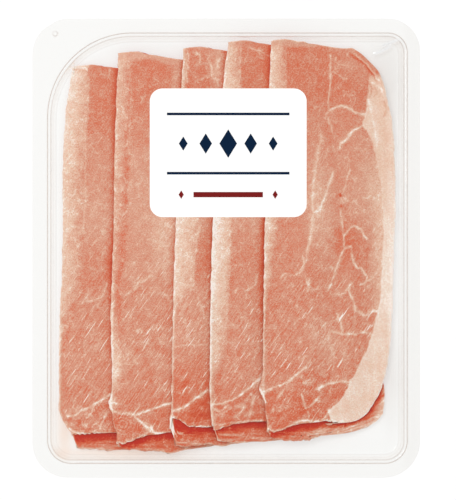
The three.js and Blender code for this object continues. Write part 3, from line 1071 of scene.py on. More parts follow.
@dataclass
class PaperLabel:
    """The white label with a plain ornament: lozenges between two rules, and a short bar."""

    film: LidFilm
    gap: float = 0.1
    thickness: float = 0.15
    ink: float = 0.03
    ink_sink: float = 0.02
    rule_length: float = 60.0
    rule_width: float = 1.3
    rule_heights: tuple[float, float] = (19.0, -10.0)
    lozenge_spacing: float = 11.0
    lozenge_sizes: tuple[float, ...] = (7.0, 10.0, 14.0, 10.0, 7.0)
    lozenge_slimness: float = 0.62
    bar: tuple[float, float, float, float] = (0.0, -20.5, 34.0, 2.6)
    bar_dots: tuple[float, ...] = (-23.0, 23.0)
    dot_size: float = 4.2

    def under(self, x: Array, y: Array) -> Array:
        """Height of the label's underside, on the film's glue."""
        return self.film.top(x, y) + self.gap

    def top(self, x: Array, y: Array) -> Array:
        """Height of the label's face."""
        return self.under(x, y) + self.thickness

    def field(
        self, centre: Point, corners: Sequence[Point], steps: tuple[int, int]
    ) -> tuple[Array, Array]:
        """A thin closed field of ink that follows the label's face.

        Args:
            centre: Its middle, in mm from the label's.
            corners: Four corners, counter-clockwise from the lower left, in mm from its middle.
            steps: Mesh steps across and along.

        Returns:
            Its points, and its faces as point numbers.
        """
        u = np.linspace(0.0, 1.0, steps[0] + 1)[:, None, None]
        v = np.linspace(0.0, 1.0, steps[1] + 1)[None, :, None]
        low_left, low_right, high_right, high_left = (np.array(corner) for corner in corners)
        flat = mix(mix(low_left, low_right, u), mix(high_left, high_right, u), v)
        x = flat[..., 0] + centre[0] + LABEL.x
        y = flat[..., 1] + centre[1] + LABEL.y
        face = self.top(x, y)
        skins = [np.stack([x, y, z], axis=-1) for z in (face + self.ink, face - self.ink_sink)]
        points = np.concatenate([skin.reshape(-1, 3) for skin in skins])
        return points, np.vstack(sheet_faces(steps[0] + 1, steps[1] + 1))

    @staticmethod
    def oblong(width: float, height: float) -> list[Point]:
        """Corners of an upright oblong round its middle."""
        w, h = width / 2.0, height / 2.0
        return [(-w, -h), (w, -h), (w, h), (-w, h)]

    def lozenge(self, height: float) -> list[Point]:
        """Corners of a lozenge that stands on its point."""
        w, h = height * self.lozenge_slimness / 2.0, height / 2.0
        return [(0.0, -h), (w, 0.0), (0.0, h), (-w, 0.0)]

    @staticmethod
    def print_piece(name: str, fields: Sequence[tuple[Array, Array]], finish: Finish) -> None:
        """Joins fields of one ink into a piece and puts it on the label.

        Args:
            name: The piece's name.
            fields: Points and faces of each field.
            finish: The ink.
        """
        starts = np.cumsum([0] + [len(points) for points, _ in fields[:-1]])
        points = np.vstack([points for points, _ in fields])
        faces = np.vstack([faces + start for (_, faces), start in zip(fields, starts)])
        piece = make_piece(name, points, [faces])
        let_light_through(piece)
        install(piece, finish.value.build())

    def build(self) -> None:
        """Makes the paper and the two inks on it."""
        across = np.linspace(0.0, 1.0, 41)
        rows = LABEL.rows(2.0)
        points = cover_sheet(LABEL, across, rows, self.top, self.under)
        paper = make_piece("paper_label", points, sheet_faces(len(across), len(rows)))
        let_light_through(paper)
        install(paper, Finish.PAPER.value.build(), "label")

        rule = self.oblong(self.rule_length, self.rule_width)
        navy = [self.field((0.0, height), rule, (30, 1)) for height in self.rule_heights]
        middle = sum(self.rule_heights) / 2.0
        first = -self.lozenge_spacing * (len(self.lozenge_sizes) - 1) / 2.0
        for place, size in enumerate(self.lozenge_sizes):
            centre = (first + place * self.lozenge_spacing, middle)
            navy.append(self.field(centre, self.lozenge(size), (6, 6)))
        self.print_piece("navy_ornament", navy, Finish.NAVY)

        x, y, width, height = self.bar
        red = [self.field((x, y), self.oblong(width, height), (16, 2))]
        for place in self.bar_dots:
            red.append(self.field((place, y), self.lozenge(self.dot_size), (4, 4)))
        self.print_piece("red_bar", red, Finish.RED)


# ---------------------------------------------------------------- ham: the shapes


class Leaf(Enum):
    """The halves of a folded slice: width at the middle, then width and power of each end."""

    UPPER = (65.0, 28.0, 2.5, 32.0, 3.1)
    LOWER = (61.5, 30.0, 2.4, 38.0, 4.5)


# Thickness of a leaf, flat and round the fold, and the gaps inside a slice and between slices.
LEAF = 1.1
FOLD_LEAF = 0.6
LEAF_GAP = 0.35
SLICE_GAP = 0.3
# How deep and how far from it the fold is pressed flat.
PRESS_DEPTH = 0.6
PRESS_REACH = 6.0
# Where past the edge of a leaf below a leaf starts to droop, and how far that takes.
DROOP_START = 2.5
DROOP_REACH = 18.0
# The gap over the tray's floor, and the climb up its fillet, as a rate times the square of the way.
FLOOR_CLEARANCE = 0.3
CLIMB_REACH = 6.0
CLIMB_RATE = 0.12
# Height of the rounding at the foot of a fold, and the upper leaf's flap as shares of the width.
FOOT_ROUND = 11.0
FLAP_PEAK = 0.1
FLAP_HALF = 0.48


@dataclass(frozen=True)
class SliceOutline:
    """Where one folded slice lies, in mm: its fold's line, its edges and its torn corner."""

    foot: float
    lean: float
    bend: float
    cut: float
    top: float
    slope: float
    folded_end: float
    flap: float
    lower_end: float

    def fold_x(self, y: Array) -> Array:
        """The fold's x: its foot, a lean that grows with a power of height, and a rounded foot."""
        climb = clamp01((y - self.folded_end) / (self.top - self.folded_end))
        low = clamp01((self.folded_end + FOOT_ROUND - y) / FOOT_ROUND)
        return self.foot + self.lean * climb**self.bend + self.cut * low**1.6

    def upper_edge(self, share: Array) -> Array:
        """The upper edge's y: a crest beside the fold, then a fall towards the right."""
        crest = 0.8 * np.sin(math.pi * clamp01(share / 0.6))
        return self.top + crest - self.slope * smoothstep((share - 0.25) / 0.65)

    def leaf_end(self, leaf: Leaf, share: Array) -> Array:
        """A leaf's lower edge: a pointed flap on the upper one, a slight belly on the lower one."""
        flap = self.flap * clamp01(1.0 - np.abs(share - FLAP_PEAK) / FLAP_HALF)
        if leaf is Leaf.UPPER:
            return self.folded_end - flap
        corner = self.folded_end - self.flap * (1.0 - FLAP_PEAK / FLAP_HALF) - 1.0
        belly = self.lower_end + 3.0 * np.abs(share - 0.4) ** 1.5
        return mix(corner, belly, smoothstep(share / 0.05))

    def across(self, leaf: Leaf, share: Array, y: Array) -> Array:
        """How far up a leaf a place is, from -1 at its lower edge to 1 at its upper edge."""
        end, top = self.leaf_end(leaf, share), self.upper_edge(share)
        return (2.0 * y - top - end) / (top - end)

    @staticmethod
    def rounding(leaf: Leaf, across: Array) -> tuple[Array, Array]:
        """The straight width and the power of the superellipse that rounds a leaf off."""
        _, top_width, top_power, foot_width, foot_power = leaf.value
        high = across > 0
        return np.where(high, top_width, foot_width), np.where(high, top_power, foot_power)

    def leaf_width(self, leaf: Leaf, y: Array) -> Array:
        """A leaf's width from the fold: straight ends joined by half a superellipse."""
        across = self.across(leaf, np.full(np.shape(y), 0.5), y)
        straight, power = self.rounding(leaf, across)
        return mix(straight, leaf.value[0], clamp01(1.0 - np.abs(across) ** power) ** (1.0 / power))

    def past_outline(self, leaf: Leaf, x: Array, y: Array) -> Array:
        """About how far outside a leaf a place lies.

        Args:
            leaf: Which half of the slice.
            x: Places across, in mm.
            y: Places along, in mm.

        Returns:
            Distances in mm, from the superellipse's level divided by its slope, or 0 inside.
        """
        from_fold = x - self.fold_x(y)
        share = clamp01(from_fold / self.leaf_width(leaf, y))
        across = self.across(leaf, share, y)
        straight, power = self.rounding(leaf, across)
        round_part = leaf.value[0] - straight
        u = np.maximum(from_fold - straight, 0.0) / round_part
        v = np.abs(across)
        level = np.maximum((u**power + v**power) ** (1.0 / power), 1e-6)
        half_height = (self.upper_edge(share) - self.leaf_end(leaf, share)) / 2.0
        slope_x = (u / level) ** (power - 1.0) / round_part
        slope_y = (v / level) ** (power - 1.0) / half_height
        beyond = (level - 1.0) / np.maximum(np.hypot(slope_x, slope_y), 1e-6)
        return np.where(level <= 1.0, np.maximum(-from_fold, 0.0), np.maximum(beyond, -from_fold))

    def support(self, leaf: Leaf, x: Array, y: Array) -> Array:
        """How much a leaf holds up what lies over it: fully inside, and less past its edge."""
        return 1.0 - smoothstep((self.past_outline(leaf, x, y) - DROOP_START) / DROOP_REACH)

    def fold_press(self, x: Array, y: Array) -> Array:
        """Fall of the upper leaf to its pressed fold: a bell curve of the distance from it."""
        return PRESS_DEPTH * bell(np.maximum(x - self.fold_x(y), 0.0), PRESS_REACH)


OUTLINES = (
    SliceOutline(-82.6, 7.6, 4.5, 6.0, 89.8, 1.6, -91.0, 1.0, -99.8),
    SliceOutline(-57.0, 3.9, 2.0, 2.0, 96.2, 3.4, -91.0, 5.8, -98.4),
    SliceOutline(-27.0, 6.0, 1.7, 0.0, 98.6, 2.5, -88.2, 0.0, -96.0),
    SliceOutline(-8.1, 9.1, 2.8, 1.0, 101.6, 2.8, -85.0, 2.0, -94.6),
    SliceOutline(17.9, 4.2, 2.0, 2.0, 101.9, 4.6, -85.4, 5.2, -92.2),
)


def lower_rest(index: int, x: Array, y: Array) -> Array:
    """Underside of a slice's lower leaf, lying on the tray and on every slice before it.

    Args:
        index: The slice's number from the left, from 0.
        x: Places across, in mm.
        y: Places along, in mm.

    Returns:
        Heights in mm: the floor, a climb up the tray's fillet, and each leaf below with its gap.
    """
    near = np.maximum(CLIMB_REACH - CAVITY.inset(x, y), 0.0)
    height = TRAY_WALL + FLOOR_CLEARANCE + CLIMB_RATE * near**2
    for below in OUTLINES[:index]:
        height = height + (LEAF + SLICE_GAP) * below.support(Leaf.LOWER, x, y)
        lift = LEAF + LEAF_GAP - below.fold_press(x, y)
        height = height + lift * below.support(Leaf.UPPER, x, y)
    return height


def upper_rest(index: int, x: Array, y: Array) -> Array:
    """Underside of a slice's upper leaf, on its own lower leaf and pressed flat at the fold."""
    own = OUTLINES[index]
    held = (LEAF + LEAF_GAP) * own.support(Leaf.LOWER, x, y)
    return lower_rest(index, x, y) + held - own.fold_press(x, y)


# ---------------------------------------------------------------- ham: the markings


@dataclass(frozen=True)
class Seam:
    """A pale line of connective tissue, or a dark one where its paleness is negative."""

    course: Curve
    paleness: float
    half_width: float


def seams(*rows: tuple[float, ...]) -> tuple[Seam, ...]:
    """Reads seams, each from its paleness, its half width and then its points' x and y, in mm."""
    return tuple(Seam(tuple(zip(row[2::2], row[3::2])), row[0], row[1]) for row in rows)


PLAIN = ((0.0, 0.0), (1.0, 0.0))


@dataclass(frozen=True)
class Markings:
    """What one slice shows: a pale strip beside its fold, meat, seams, patches and fat.

    Curves are pairs: a height up the pack and the x, or the paleness, there. Below the seam line,
    given as x and height, the meat is plainer and more marbled. The trims are what the edges add to
    the plain outline, in mm: the fold by height; the upper leaf's top and end by its distance
    across, and its side by height; and the lower leaf's foot and side in the same way.
    """

    strip_edge: Curve
    strip_tone: Curve
    meat_tone: Curve
    shadow: Curve
    seams: tuple[Seam, ...]
    patches: tuple[Patch, ...] = ()
    top_border: float = 0.0
    fat_edge: Curve = ()
    fat_tone: Curve = ()
    seam_line: Curve = ()
    whorl: Point | None = None
    lower_seams: tuple[Seam, ...] = ()
    top_trim: Curve = PLAIN
    side_trim: Curve = PLAIN
    end_trim: Curve = PLAIN
    foot_trim: Curve = PLAIN
    foot_side_trim: Curve = PLAIN
    fold_trim: Curve = PLAIN


# The torn corner of the third slice, and the lines on the edges of the lower leaves.
TORN_HOOK = seams(
    (0.9, 0.55, -26.3, -82.7, -27.4, -85.1, -27.2, -88.1, -26.4, -90, -24.6, -91, -22, -91.2),
)
STRIP_LINES = seams(
    (0.3, 0.35, -29.9, -89, -13, -90.7, 0, -92, 17.5, -94, 28, -94.4),
    (-0.2, 0.4, -6, -93.4, 6, -93.8, 16, -95.2),
    (0.26, 0.35, -30, -94.4, -25, -95.4, -12.8, -96.5),
    (0.3, 0.35, 24, -90.4, 36, -91, 44, -91.6, 51, -92.6),
    (0.2, 0.35, 28, -92.6, 38, -93, 48, -93.4),
)

# The last seams of each slice are fine wisps of marbling, some of them branching.
SLICE_MARKINGS = (
    Markings(
        strip_edge=(
            (90, -68), (68, -68.2), (46, -69.6), (24, -69.4), (10, -71), (-21, -72.4), (-34, -75.6),
            (-47, -79.5), (-57, -82.5),
        ),
        strip_tone=(
            (85, 0.79), (70, 0.75), (47, 0.72), (33, 0.69), (14, 0.72), (-11, 0.7), (-25, 0.66),
            (-36, 0.58), (-52, 0.55),
        ),
        meat_tone=(
            (88, 0.45), (63, 0.45), (52, 0.51), (33, 0.55), (14, 0.59), (4, 0.56), (-6, 0.51),
            (-16, 0.47), (-25, 0.51), (-55, 0.53), (-74, 0.49),
        ),
        shadow=((90, 0.2), (60, 0.22), (20, 0.16), (-10, 0.3), (-30, 0.22), (-55, 0.08)),
        seams=seams(
            (0.26, 0.55, -78, -83, -72.5, -81.5, -68.5, -79, -63.5, -76, -56, -71.5),
            (0.16, 0.4, -64, -77, -66, -80, -68, -83.5),
            (0.2, 0.5, -59.5, -82, -61, -86.5, -62.5, -89.5),
            (0.3, 0.5, -77.5, -89, -74.5, -91.2, -68, -91.8, -61, -91, -54.5, -92.2),
            (0.08, 0.45, -68, 84, -68.2, 68, -69.6, 46, -69.2, 24, -71, 8),
            (0.1, 0.4, -75.2, 89.4, -71.5, 89.2, -68.4, 88.4),
            (-0.1, 0.4, -75, 88.4, -71.5, 88, -68.6, 87.2),
            (0.14, 0.4, -62, -84, -66, -88),
            (0.1, 0.4, -75.5, -78.5, -74, -74, -71.5, -70),
            (0.14, 0.45, -71.1, -27.1, -69, -25.2, -67.2, -26.4, -62.8, -25.1, -59.9, -22.7, -58.9,
             -17.5),
            (0.12, 0.35, -69, -25.2, -68.2, -22.6),
            (0.12, 0.35, -64.4, -25.6, -63.8, -28.4, -62, -29.6),
            (0.1, 0.35, -66, -10, -63, -11.6, -60.6, -9.8),
            (0.1, 0.35, -78.4, 44, -76, 46.6, -74.8, 43.8, -73.4, 47.4),
            (0.1, 0.35, -78, 27, -75.6, 26, -74.2, 28.6),
            (0.1, 0.35, -79, 9, -76, 11.4, -74, 9.6),
        ),
        seam_line=((-83, -82.5), (-78, -83), (-68.5, -79), (-56, -71.5), (-40, -64)),
        fold_trim=(
            (89, -0.6), (70, -0.8), (57, -0.5), (43, 0), (24, 0.8), (14, 1.4), (-16, 1.3),
            (-25, 0.6), (-50, 0), (-95, 0),
        ),
    ),
    Markings(
        strip_edge=(
            (95, -46.5), (77, -47.4), (68, -46.8), (46, -48), (28, -48.2), (4, -49.9), (-9, -50.6),
            (-18, -53), (-60, -50.5), (-70, -53), (-76, -56.5),
        ),
        strip_tone=(
            (95, 0.66), (85, 0.62), (60, 0.6), (30, 0.57), (10, 0.56), (-20, 0.54), (-40, 0.58),
            (-50, 0.64), (-60, 0.7), (-68, 0.6), (-76, 0.5),
        ),
        meat_tone=(
            (92, 0.44), (76, 0.45), (60, 0.49), (48, 0.54), (34, 0.58), (20, 0.58), (6, 0.56),
            (-14, 0.54), (-25, 0.52), (-55, 0.52), (-68, 0.5), (-80, 0.45),
        ),
        shadow=((90, 0.12), (20, 0.1), (-10, 0.1), (-30, 0.06)),
        seams=seams(
            (0.3, 0.6, -45, -82.5, -40, -80.5, -33.5, -78.5, -27, -76),
            (0.2, 0.5, -56, -81, -51, -81, -47.5, -81.5, -45, -82.5),
            (0.34, 0.7, -45, -82.5, -41, -86.5, -37.5, -89.5, -35, -91.2, -30, -91.5),
            (0.07, 0.6, -48, 90, -46.9, 80, -47, 68, -48, 46),
            (0.14, 0.4, -51.6, 70.2, -50.3, 67.5, -48.6, 64.3),
            (0.12, 0.35, -42.5, 71.5, -41, 73.5, -39.6, 75.6),
            (0.1, 0.3, -41, 73.5, -42.2, 75.2),
            (0.22, 0.5, -56.4, -72.5, -57.9, -75.4, -57, -78.4, -55.6, -80.4),
            (0.22, 0.5, -57.4, -76.4, -55.6, -76, -54, -76.8),
            (0.6, 0.55, -37.3, -88.1, -35.8, -90.2, -34, -91.2, -30.5, -91.5),
            (0.2, 0.4, -53.5, -96, -49, -95.8, -43, -93.4, -38, -90.6),
            (0.13, 0.4, -53.8, -18.8, -51.6, -21.6, -48.8, -23.8, -46, -19.9, -43.4, -19.2),
            (0.14, 0.4, -46, -19.9, -43, -17.2, -40.5, -16.5, -38.4, -13.8, -36, -13.2),
            (0.12, 0.35, -40.5, -16.5, -41.6, -14),
            (0.13, 0.4, -33.8, -22.7, -31.8, -22, -29.3, -23.8, -26.5, -26),
            (0.1, 0.35, -51, -6, -48.4, -8.2, -45.2, -6.8),
            (0.14, 0.4, -44, -41, -42.6, -39.6, -41.6, -41.4),
            (0.12, 0.35, -52, 51, -49.6, 49.4, -48, 52, -49, 54.6),
            (0.12, 0.35, -53.6, 35.4, -51, 36.6, -50.4, 33.4, -48.4, 32.6),
            (0.12, 0.35, -54, 18.6, -51.6, 16.4, -49, 18),
        ),
        patches=(
            Patch((-24.5, 85), (2.6, 14), 0.14),
            Patch((-31, 5), (5.5, 16), 0.12),
            Patch((-53, -58), (4.5, 9), 0.1),
            Patch((-55.8, -76), (2.4, 3.6), 0.2),
        ),
        top_border=4.2,
        seam_line=((-56, -81), (-45, -82.5), (-27, -76), (-10, -70)),
        whorl=(-51, -86.5),
        foot_trim=(
            (-56, 0.3), (-48, 1.2), (-28, 1.8), (-21, 2.2), (-14.6, 3.2), (-8.3, 3.4), (-2, 2.2),
            (4, 1),
        ),
        fold_trim=(
            (96, 0), (48, -0.3), (4, 0.3), (-16, 0), (-35, -0.4), (-50, 0.3), (-65, 0.6),
            (-70, 0.6), (-73.5, -0.2), (-76, -1.5), (-78.5, -0.9), (-81, 0.6), (-95, 0.8),
        ),
    ),
    Markings(
        strip_edge=(
            (98, -19.5), (78, -19.8), (15, -13), (2, -14.2), (-9, -15.4), (-20, -16.4),
            (-26, -18.8), (-31, -22.6), (-36, -26.5),
        ),
        strip_tone=(
            (97, 0.72), (80, 0.7), (15, 0.79), (5, 0.76), (-15, 0.75), (-25, 0.68), (-33, 0.56),
        ),
        meat_tone=(
            (97, 0.48), (80, 0.44), (15, 0.55), (0, 0.48), (-10, 0.46), (-25, 0.55), (-42, 0.56),
            (-55, 0.5), (-66, 0.4),
        ),
        shadow=((95, 0.12), (60, 0.1), (15, 0.12), (-20, 0.1), (-50, 0.06)),
        seams=TORN_HOOK + seams(
            (0.3, 0.6, -26, -80, -21, -79, -16, -74.5, -9, -70),
            (0.45, 0.5, -26, -83.5, -22.5, -86.4, -19, -88, -8, -88),
            (0.12, 0.35, -17, -86, -14, -82, -11.5, -77),
            (0.14, 0.35, -13.5, -86.5, -11, -83, -9.6, -79.5),
            (0.08, 0.5, -13, 12, -14.5, 1.5, -15.5, -8.5, -16.5, -20.5, -22.5, -30.5),
            (0.13, 0.45, -19.3, 97.4, -18.2, 93.8, -19.6, 90.7, -18, 88.4, -20, 86.8, -19.3, 81.8),
            (0.14, 0.35, -14.8, 96.3, -12.6, 94, -13.4, 91.6),
            (0.12, 0.35, -8.2, 95.2, -9.4, 92.4, -6.6, 89.6, -7.6, 85.1, -4.6, 83, -3.7, 80.7),
            (0.14, 0.4, -3.1, 93.5, -4.6, 91.4, -3.6, 88.8),
            (0.12, 0.35, -15, 84.5, -13, 83, -11.6, 84),
            (0.12, 0.35, -13.7, -24.9, -12.1, -29.4, -10.4, -34.9, -7.1, -37.7),
            (0.12, 0.35, -12.1, -29.4, -9.6, -28.4),
            (0.1, 0.35, -24.8, -48.3, -18.2, -47.4, -9.3, -47.7),
        ),
        patches=(
            Patch((-4.5, 87), (3.6, 12), 0.15),
            Patch((-12.5, -80.5), (6, 5), -0.2, 30),
        ),
        seam_line=((-26, -80), (-16, -74.5), (-9, -70), (5, -62)),
        lower_seams=TORN_HOOK + STRIP_LINES,
        end_trim=((-27, 4.8), (-22, 3.6), (-17, 1.4), (-13, 0.2), (0, 0)),
        foot_trim=(
            (-27, 1), (-18.4, 2.2), (-12, 1.8), (-5.8, 1.4), (0.5, 0.6), (7, 1.1), (13, 1.9),
            (19.5, 2), (26, 0.6),
        ),
        fold_trim=((-80, 0), (-84, -0.8), (-95, -0.8)),
    ),
    Markings(
        strip_edge=(
            (100, 7.8), (78, 6.8), (15, 2), (-1, 2), (-25, 0.6), (-47, -0.1), (-58, -1), (-66, -4),
        ),
        strip_tone=(
            (98, 0.66), (85, 0.73), (15, 0.86), (-1, 0.85), (-25, 0.83), (-33, 0.74), (-50, 0.71),
            (-58, 0.62), (-66, 0.54),
        ),
        meat_tone=(
            (98, 0.46), (78, 0.44), (15, 0.57), (4, 0.52), (-8, 0.48), (-20, 0.5), (-40, 0.53),
            (-60, 0.51), (-74, 0.47), (-84, 0.42),
        ),
        shadow=((95, 0.2), (60, 0.2), (15, 0.3), (-10, 0.3), (-30, 0.2), (-50, 0.06)),
        seams=seams(
            (0.26, 0.55, -7, -77.5, 2, -75, 4.5, -73.5, 8.5, -71, 12.5, -68, 18, -62.5),
            (0.14, 0.4, 12, 99, 16, 97.3, 21, 94.5),
            (0.09, 0.45, 7.2, 98, 6.8, 85, 5.8, 74),
            (0.07, 0.5, 1.9, 14, 1.9, 0, 0.6, -25, -0.1, -47),
            (0.2, 0.4, -6, -87, 0, -86.5, 8, -85.5, 18, -85),
            (0.16, 0.45, 12.5, -71, 9.5, -75, 7.5, -80, 4.5, -83.5),
            (0.14, 0.45, 14, -72.5, 13, -79, 10.5, -84),
            (0.14, 0.4, -6.5, -78.5, -3, -81, 0.5, -80),
            (0.16, 0.4, 3.8, -21.6, 6, -19.4, 7.7, -19.9, 9.6, -21, 11.7, -19.9, 14.5, -17.1, 16.1,
             -12.6),
            (0.12, 0.35, 9.6, -21, 10.2, -23.6),
            (0.1, 0.35, 2.6, -7, 5, -9, 8.4, -8),
        ),
        seam_line=((-7, -77.5), (4.5, -73.5), (12.5, -68), (18, -62.5), (30, -55)),
        lower_seams=STRIP_LINES,
        end_trim=((-8, -3), (-2, -2.2), (6, -1.2), (14, -0.5), (57, -0.5)),
        foot_trim=((-8, 0.8), (10, 1.5), (30, 1)),
    ),
    Markings(
        strip_edge=((101, 28.5), (78, 29), (15, 25.4), (-8, 23.4), (-25, 21.5), (-47, 17.5)),
        strip_tone=(
            (98, 0.7), (85, 0.72), (15, 0.79), (5, 0.72), (-10, 0.7), (-20, 0.62), (-35, 0.58),
            (-48, 0.53),
        ),
        meat_tone=(
            (99, 0.44), (76, 0.44), (64, 0.5), (48, 0.51), (20, 0.52), (4, 0.5), (-10, 0.5),
            (-25, 0.5), (-50, 0.5), (-66, 0.48), (-82, 0.44),
        ),
        shadow=((90, 0), (-90, 0)),
        seams=seams(
            (0.2, 0.45, 51.2, 95, 51.6, 89.5, 51.5, 83, 51, 77, 50.4, 71, 51, 68),
            (0.12, 0.4, 72.4, 81.9, 75.9, 79.5, 76.8, 77.1),
            (-0.1, 0.5, 70.5, 82.4, 71.9, 78.5, 70.5, 74.6),
            (-0.12, 0.4, 73.4, 79.5, 74.4, 76.6, 72.9, 74.6),
            (-0.08, 0.6, 78.3, 72.6, 79.3, 67.7, 77.3, 64.8),
            (0.08, 0.7, 70, 73, 72, 66, 73.4, 58, 74.4, 50),
            (0.09, 0.45, 29.6, 99, 29.4, 88, 29, 76),
            (0.22, 0.6, 51, 68, 54, 69.6, 57.5, 70.2, 61.5, 68.6, 65, 66.2, 68, 66),
            (0.14, 0.5, 51, 68, 49.6, 66, 48.6, 64),
            (0.1, 0.4, 50, 64.5, 51, 60.5, 52.5, 56),
            (0.26, 0.6, 66.5, 60, 63, 58.5, 60.5, 55.5, 58, 53, 56, 49.5),
            (0.12, 0.7, 46.5, 56.5, 47, 54.5, 45.5, 48.5, 44.5, 42.5, 43, 33, 42.5, 27),
            (0.16, 0.6, 42.5, 27, 42.5, 15, 41.5, 5, 40.5, 1.5, 39.5, -6),
            (0.2, 0.5, 52.8, 37.4, 50.9, 32.5, 48.9, 25.6, 46.3, 19.7, 43, 17.3),
            (0.12, 0.4, 61, 39, 59.5, 35, 58, 27.5, 56.5, 25.5, 57.5, 22.5),
            (0.18, 0.5, 56, 19, 57, 13.5, 58, 6, 58, 0),
            (0.2, 0.45, 58, 0, 56, -4, 55, -8.5, 54, -11.5, 52.5, -16.5, 49.5, -21),
            (0.22, 0.5, 58, 6, 61.5, 10, 62.5, 11, 65.5, 10, 67.5, 8, 69.5, 4.5),
            (0.2, 0.4, 58, 0, 60, 0.8, 62.1, 1, 61.8, -2.8, 62.6, -6.7, 64.6, -9.6, 67, -9.8),
            (0.2, 0.45, 66.6, -9.6, 68.2, -12, 69.6, -15.6, 66.1, -18),
            (0.16, 0.4, 69.6, -15.6, 71.6, -15.2, 74, -12.6),
            (0.14, 0.4, 54.6, -9.8, 52.8, -10.2, 51, -9),
            (0.14, 0.35, 57.2, 25.1, 60.7, 22.7, 63.1, 23.2),
            (0.3, 0.5, 42.9, 26.4, 42.3, 25.4),
            (0.26, 0.6, 46.6, 20.6, 46, 18.6),
            (0.18, 0.45, 40.6, -18.6, 41.6, -14, 41.2, -17.6, 39.8, -20.6),
            (0.14, 0.35, 71, 26, 69, 24.4, 67.4, 25),
            (0.12, 0.35, 65.6, 26.6, 64.4, 24.2, 63, 23.4),
            (0.22, 0.55, 61.5, -17.5, 60.5, -20, 61, -24, 63, -26, 64, -30.5),
            (0.22, 0.5, 64, -30.5, 66.5, -32, 69, -33.5, 71.5, -31, 74.5, -31),
            (0.14, 0.5, 60.5, -20, 57.5, -22.5, 54.5, -22.5),
            (0.2, 0.5, 54.5, -32.5, 56.5, -35, 57, -39.5, 57, -42),
            (0.2, 0.5, 53, -41.5, 57, -42, 62, -42.5, 68, -41.5, 71.5, -42.5),
            (0.24, 0.55, 18, -70.5, 23, -69, 27.5, -67, 32.5, -64, 35.5, -61.5, 39, -58.5),
            (0.34, 0.45, 15.8, -68.4, 16.8, -70.8, 18.6, -73.4, 19.8, -75.6),
            (0.2, 0.4, 20.5, -89, 24.5, -90.2, 29.5, -88.2, 34, -85.8),
            (0.3, 0.5, 34, -85.6, 37, -84.8, 47, -85.3, 51.5, -84.8),
            (0.12, 0.4, 62, 96.4, 67.5, 92.6, 72.3, 87.4, 75.4, 82.5),
            (-0.12, 0.45, 61.5, 95.5, 66.9, 91.8, 71.5, 86.8, 74.6, 82.2),
            (-0.5, 0.45, 56.8, 20.6, 56.4, 20.7),
            (-0.4, 0.4, 57, 26, 56.6, 26.2),
            (0.2, 0.5, 37.6, -71.4, 38.6, -78.8, 41.1, -77.8, 45, -74.9, 46.5, -71.4),
            (0.24, 0.7, 45, -69.5, 49.9, -67, 55.8, -65.5, 59.7, -66),
            (0.24, 0.5, 44, -86.1, 47.9, -84.2, 49.9, -81.7, 50.9, -79.3),
            (0.18, 0.45, 30.8, -65.5, 28.3, -69.5, 25.9, -73.4),
            (0.16, 0.5, 19.5, -75.5, 17.5, -78.5, 18, -82),
            (0.12, 0.35, 52.5, 92.5, 55.5, 90.5, 58.5, 89.8),
            (0.12, 0.35, 52, 87.5, 55, 86, 56.5, 83.5, 59.5, 83),
            (0.1, 0.3, 54, 94, 53, 90, 55, 86.5),
            (0.16, 0.45, 26.7, -14.3, 29.6, -12.4, 31.7, -13.8, 34, -13.4, 36.7, -11.5, 38.4, -7.1,
             37.8, -3.7),
            (0.14, 0.4, 40.1, -18.2, 42.3, -21, 45.6, -19.8),
            (0.14, 0.4, 40.1, -18.2, 39.2, -14.4),
            (0.16, 0.4, 33, -29.6, 34.4, -28, 35.2, -29.8),
            (0.12, 0.35, 47.6, -38.4, 50.4, -36, 53.2, -35.6),
        ),
        patches=(
            Patch((45, 28), (5, 18), 0.13),
            Patch((48, 8), (6, 14), 0.08),
            Patch((57.5, 4.5), (4.2, 7), -0.16),
            Patch((64, 0), (5, 12), -0.06),
            Patch((69, 32), (7, 22), 0.1),
            Patch((50, -46), (7, 12), 0.09, 40),
            Patch((62, 90), (5, 12), 0.1, 45),
            Patch((38, -76), (8, 5), -0.08, 30),
        ),
        top_border=3.0,
        fat_edge=(
            (84.5, 70.5), (77, 69.5), (66, 68), (60.5, 66.5), (58, 69), (53, 71.5), (47, 73),
            (32, 76), (16, 77), (3.5, 77), (-26.5, 75.5), (-38, 72.8), (-45, 70.5), (-50.8, 68.5),
            (-56.7, 65.6), (-62.6, 62.6), (-65.5, 60.2), (-68.5, 59.7), (-72.4, 57.7),
            (-75.3, 55.3), (-78.3, 51.8), (-80.7, 49.9), (-82.7, 50.4), (-86.1, 52.3),
        ),
        fat_tone=(
            (84, 0.76), (66, 0.82), (50, 0.78), (32, 0.8), (16, 0.86), (0, 0.9), (-26, 0.92),
            (-40, 0.86), (-56, 0.85), (-85, 0.85),
        ),
        seam_line=((18, -70.5), (27.5, -67), (39, -58.5), (60, -58)),
        lower_seams=STRIP_LINES,
        end_trim=((18, 0), (66, 0), (74, -0.8), (80, -1.7), (83, -1.5)),
        top_trim=((28, 0.3), (37, 0), (46, 0.1), (55, 1.9), (64, 1.4), (73, 1.2), (82, 1.5)),
        side_trim=(
            (98, 1.2), (92, 1.4), (87, 2.4), (82, 2.4), (76, 1.4), (60, 0.9), (40, 0), (-20, -0.6),
            (-50, 0.6), (-75, 1.3), (-86, 0.6),
        ),
        foot_trim=(
            (18, 1.2), (28.4, 2.4), (34.7, 2.8), (41, 3), (53.7, 3), (60, 2.8), (66, 2), (72.5, 1),
            (79.4, -2.4),
        ),
        foot_side_trim=(
            (-62, 0), (-66, -0.2), (-71, 1.2), (-76, 1.9), (-82.2, 1.5), (-86.1, -1.5),
            (-88.6, -3.7), (-92, -6),
        ),
        fold_trim=(
            (-60, 0), (-66, -1), (-69.5, -1.7), (-72.5, -0.3), (-75.5, 1), (-78, 1), (-84, 0.3),
            (-90, 0),
        ),
    ),
)


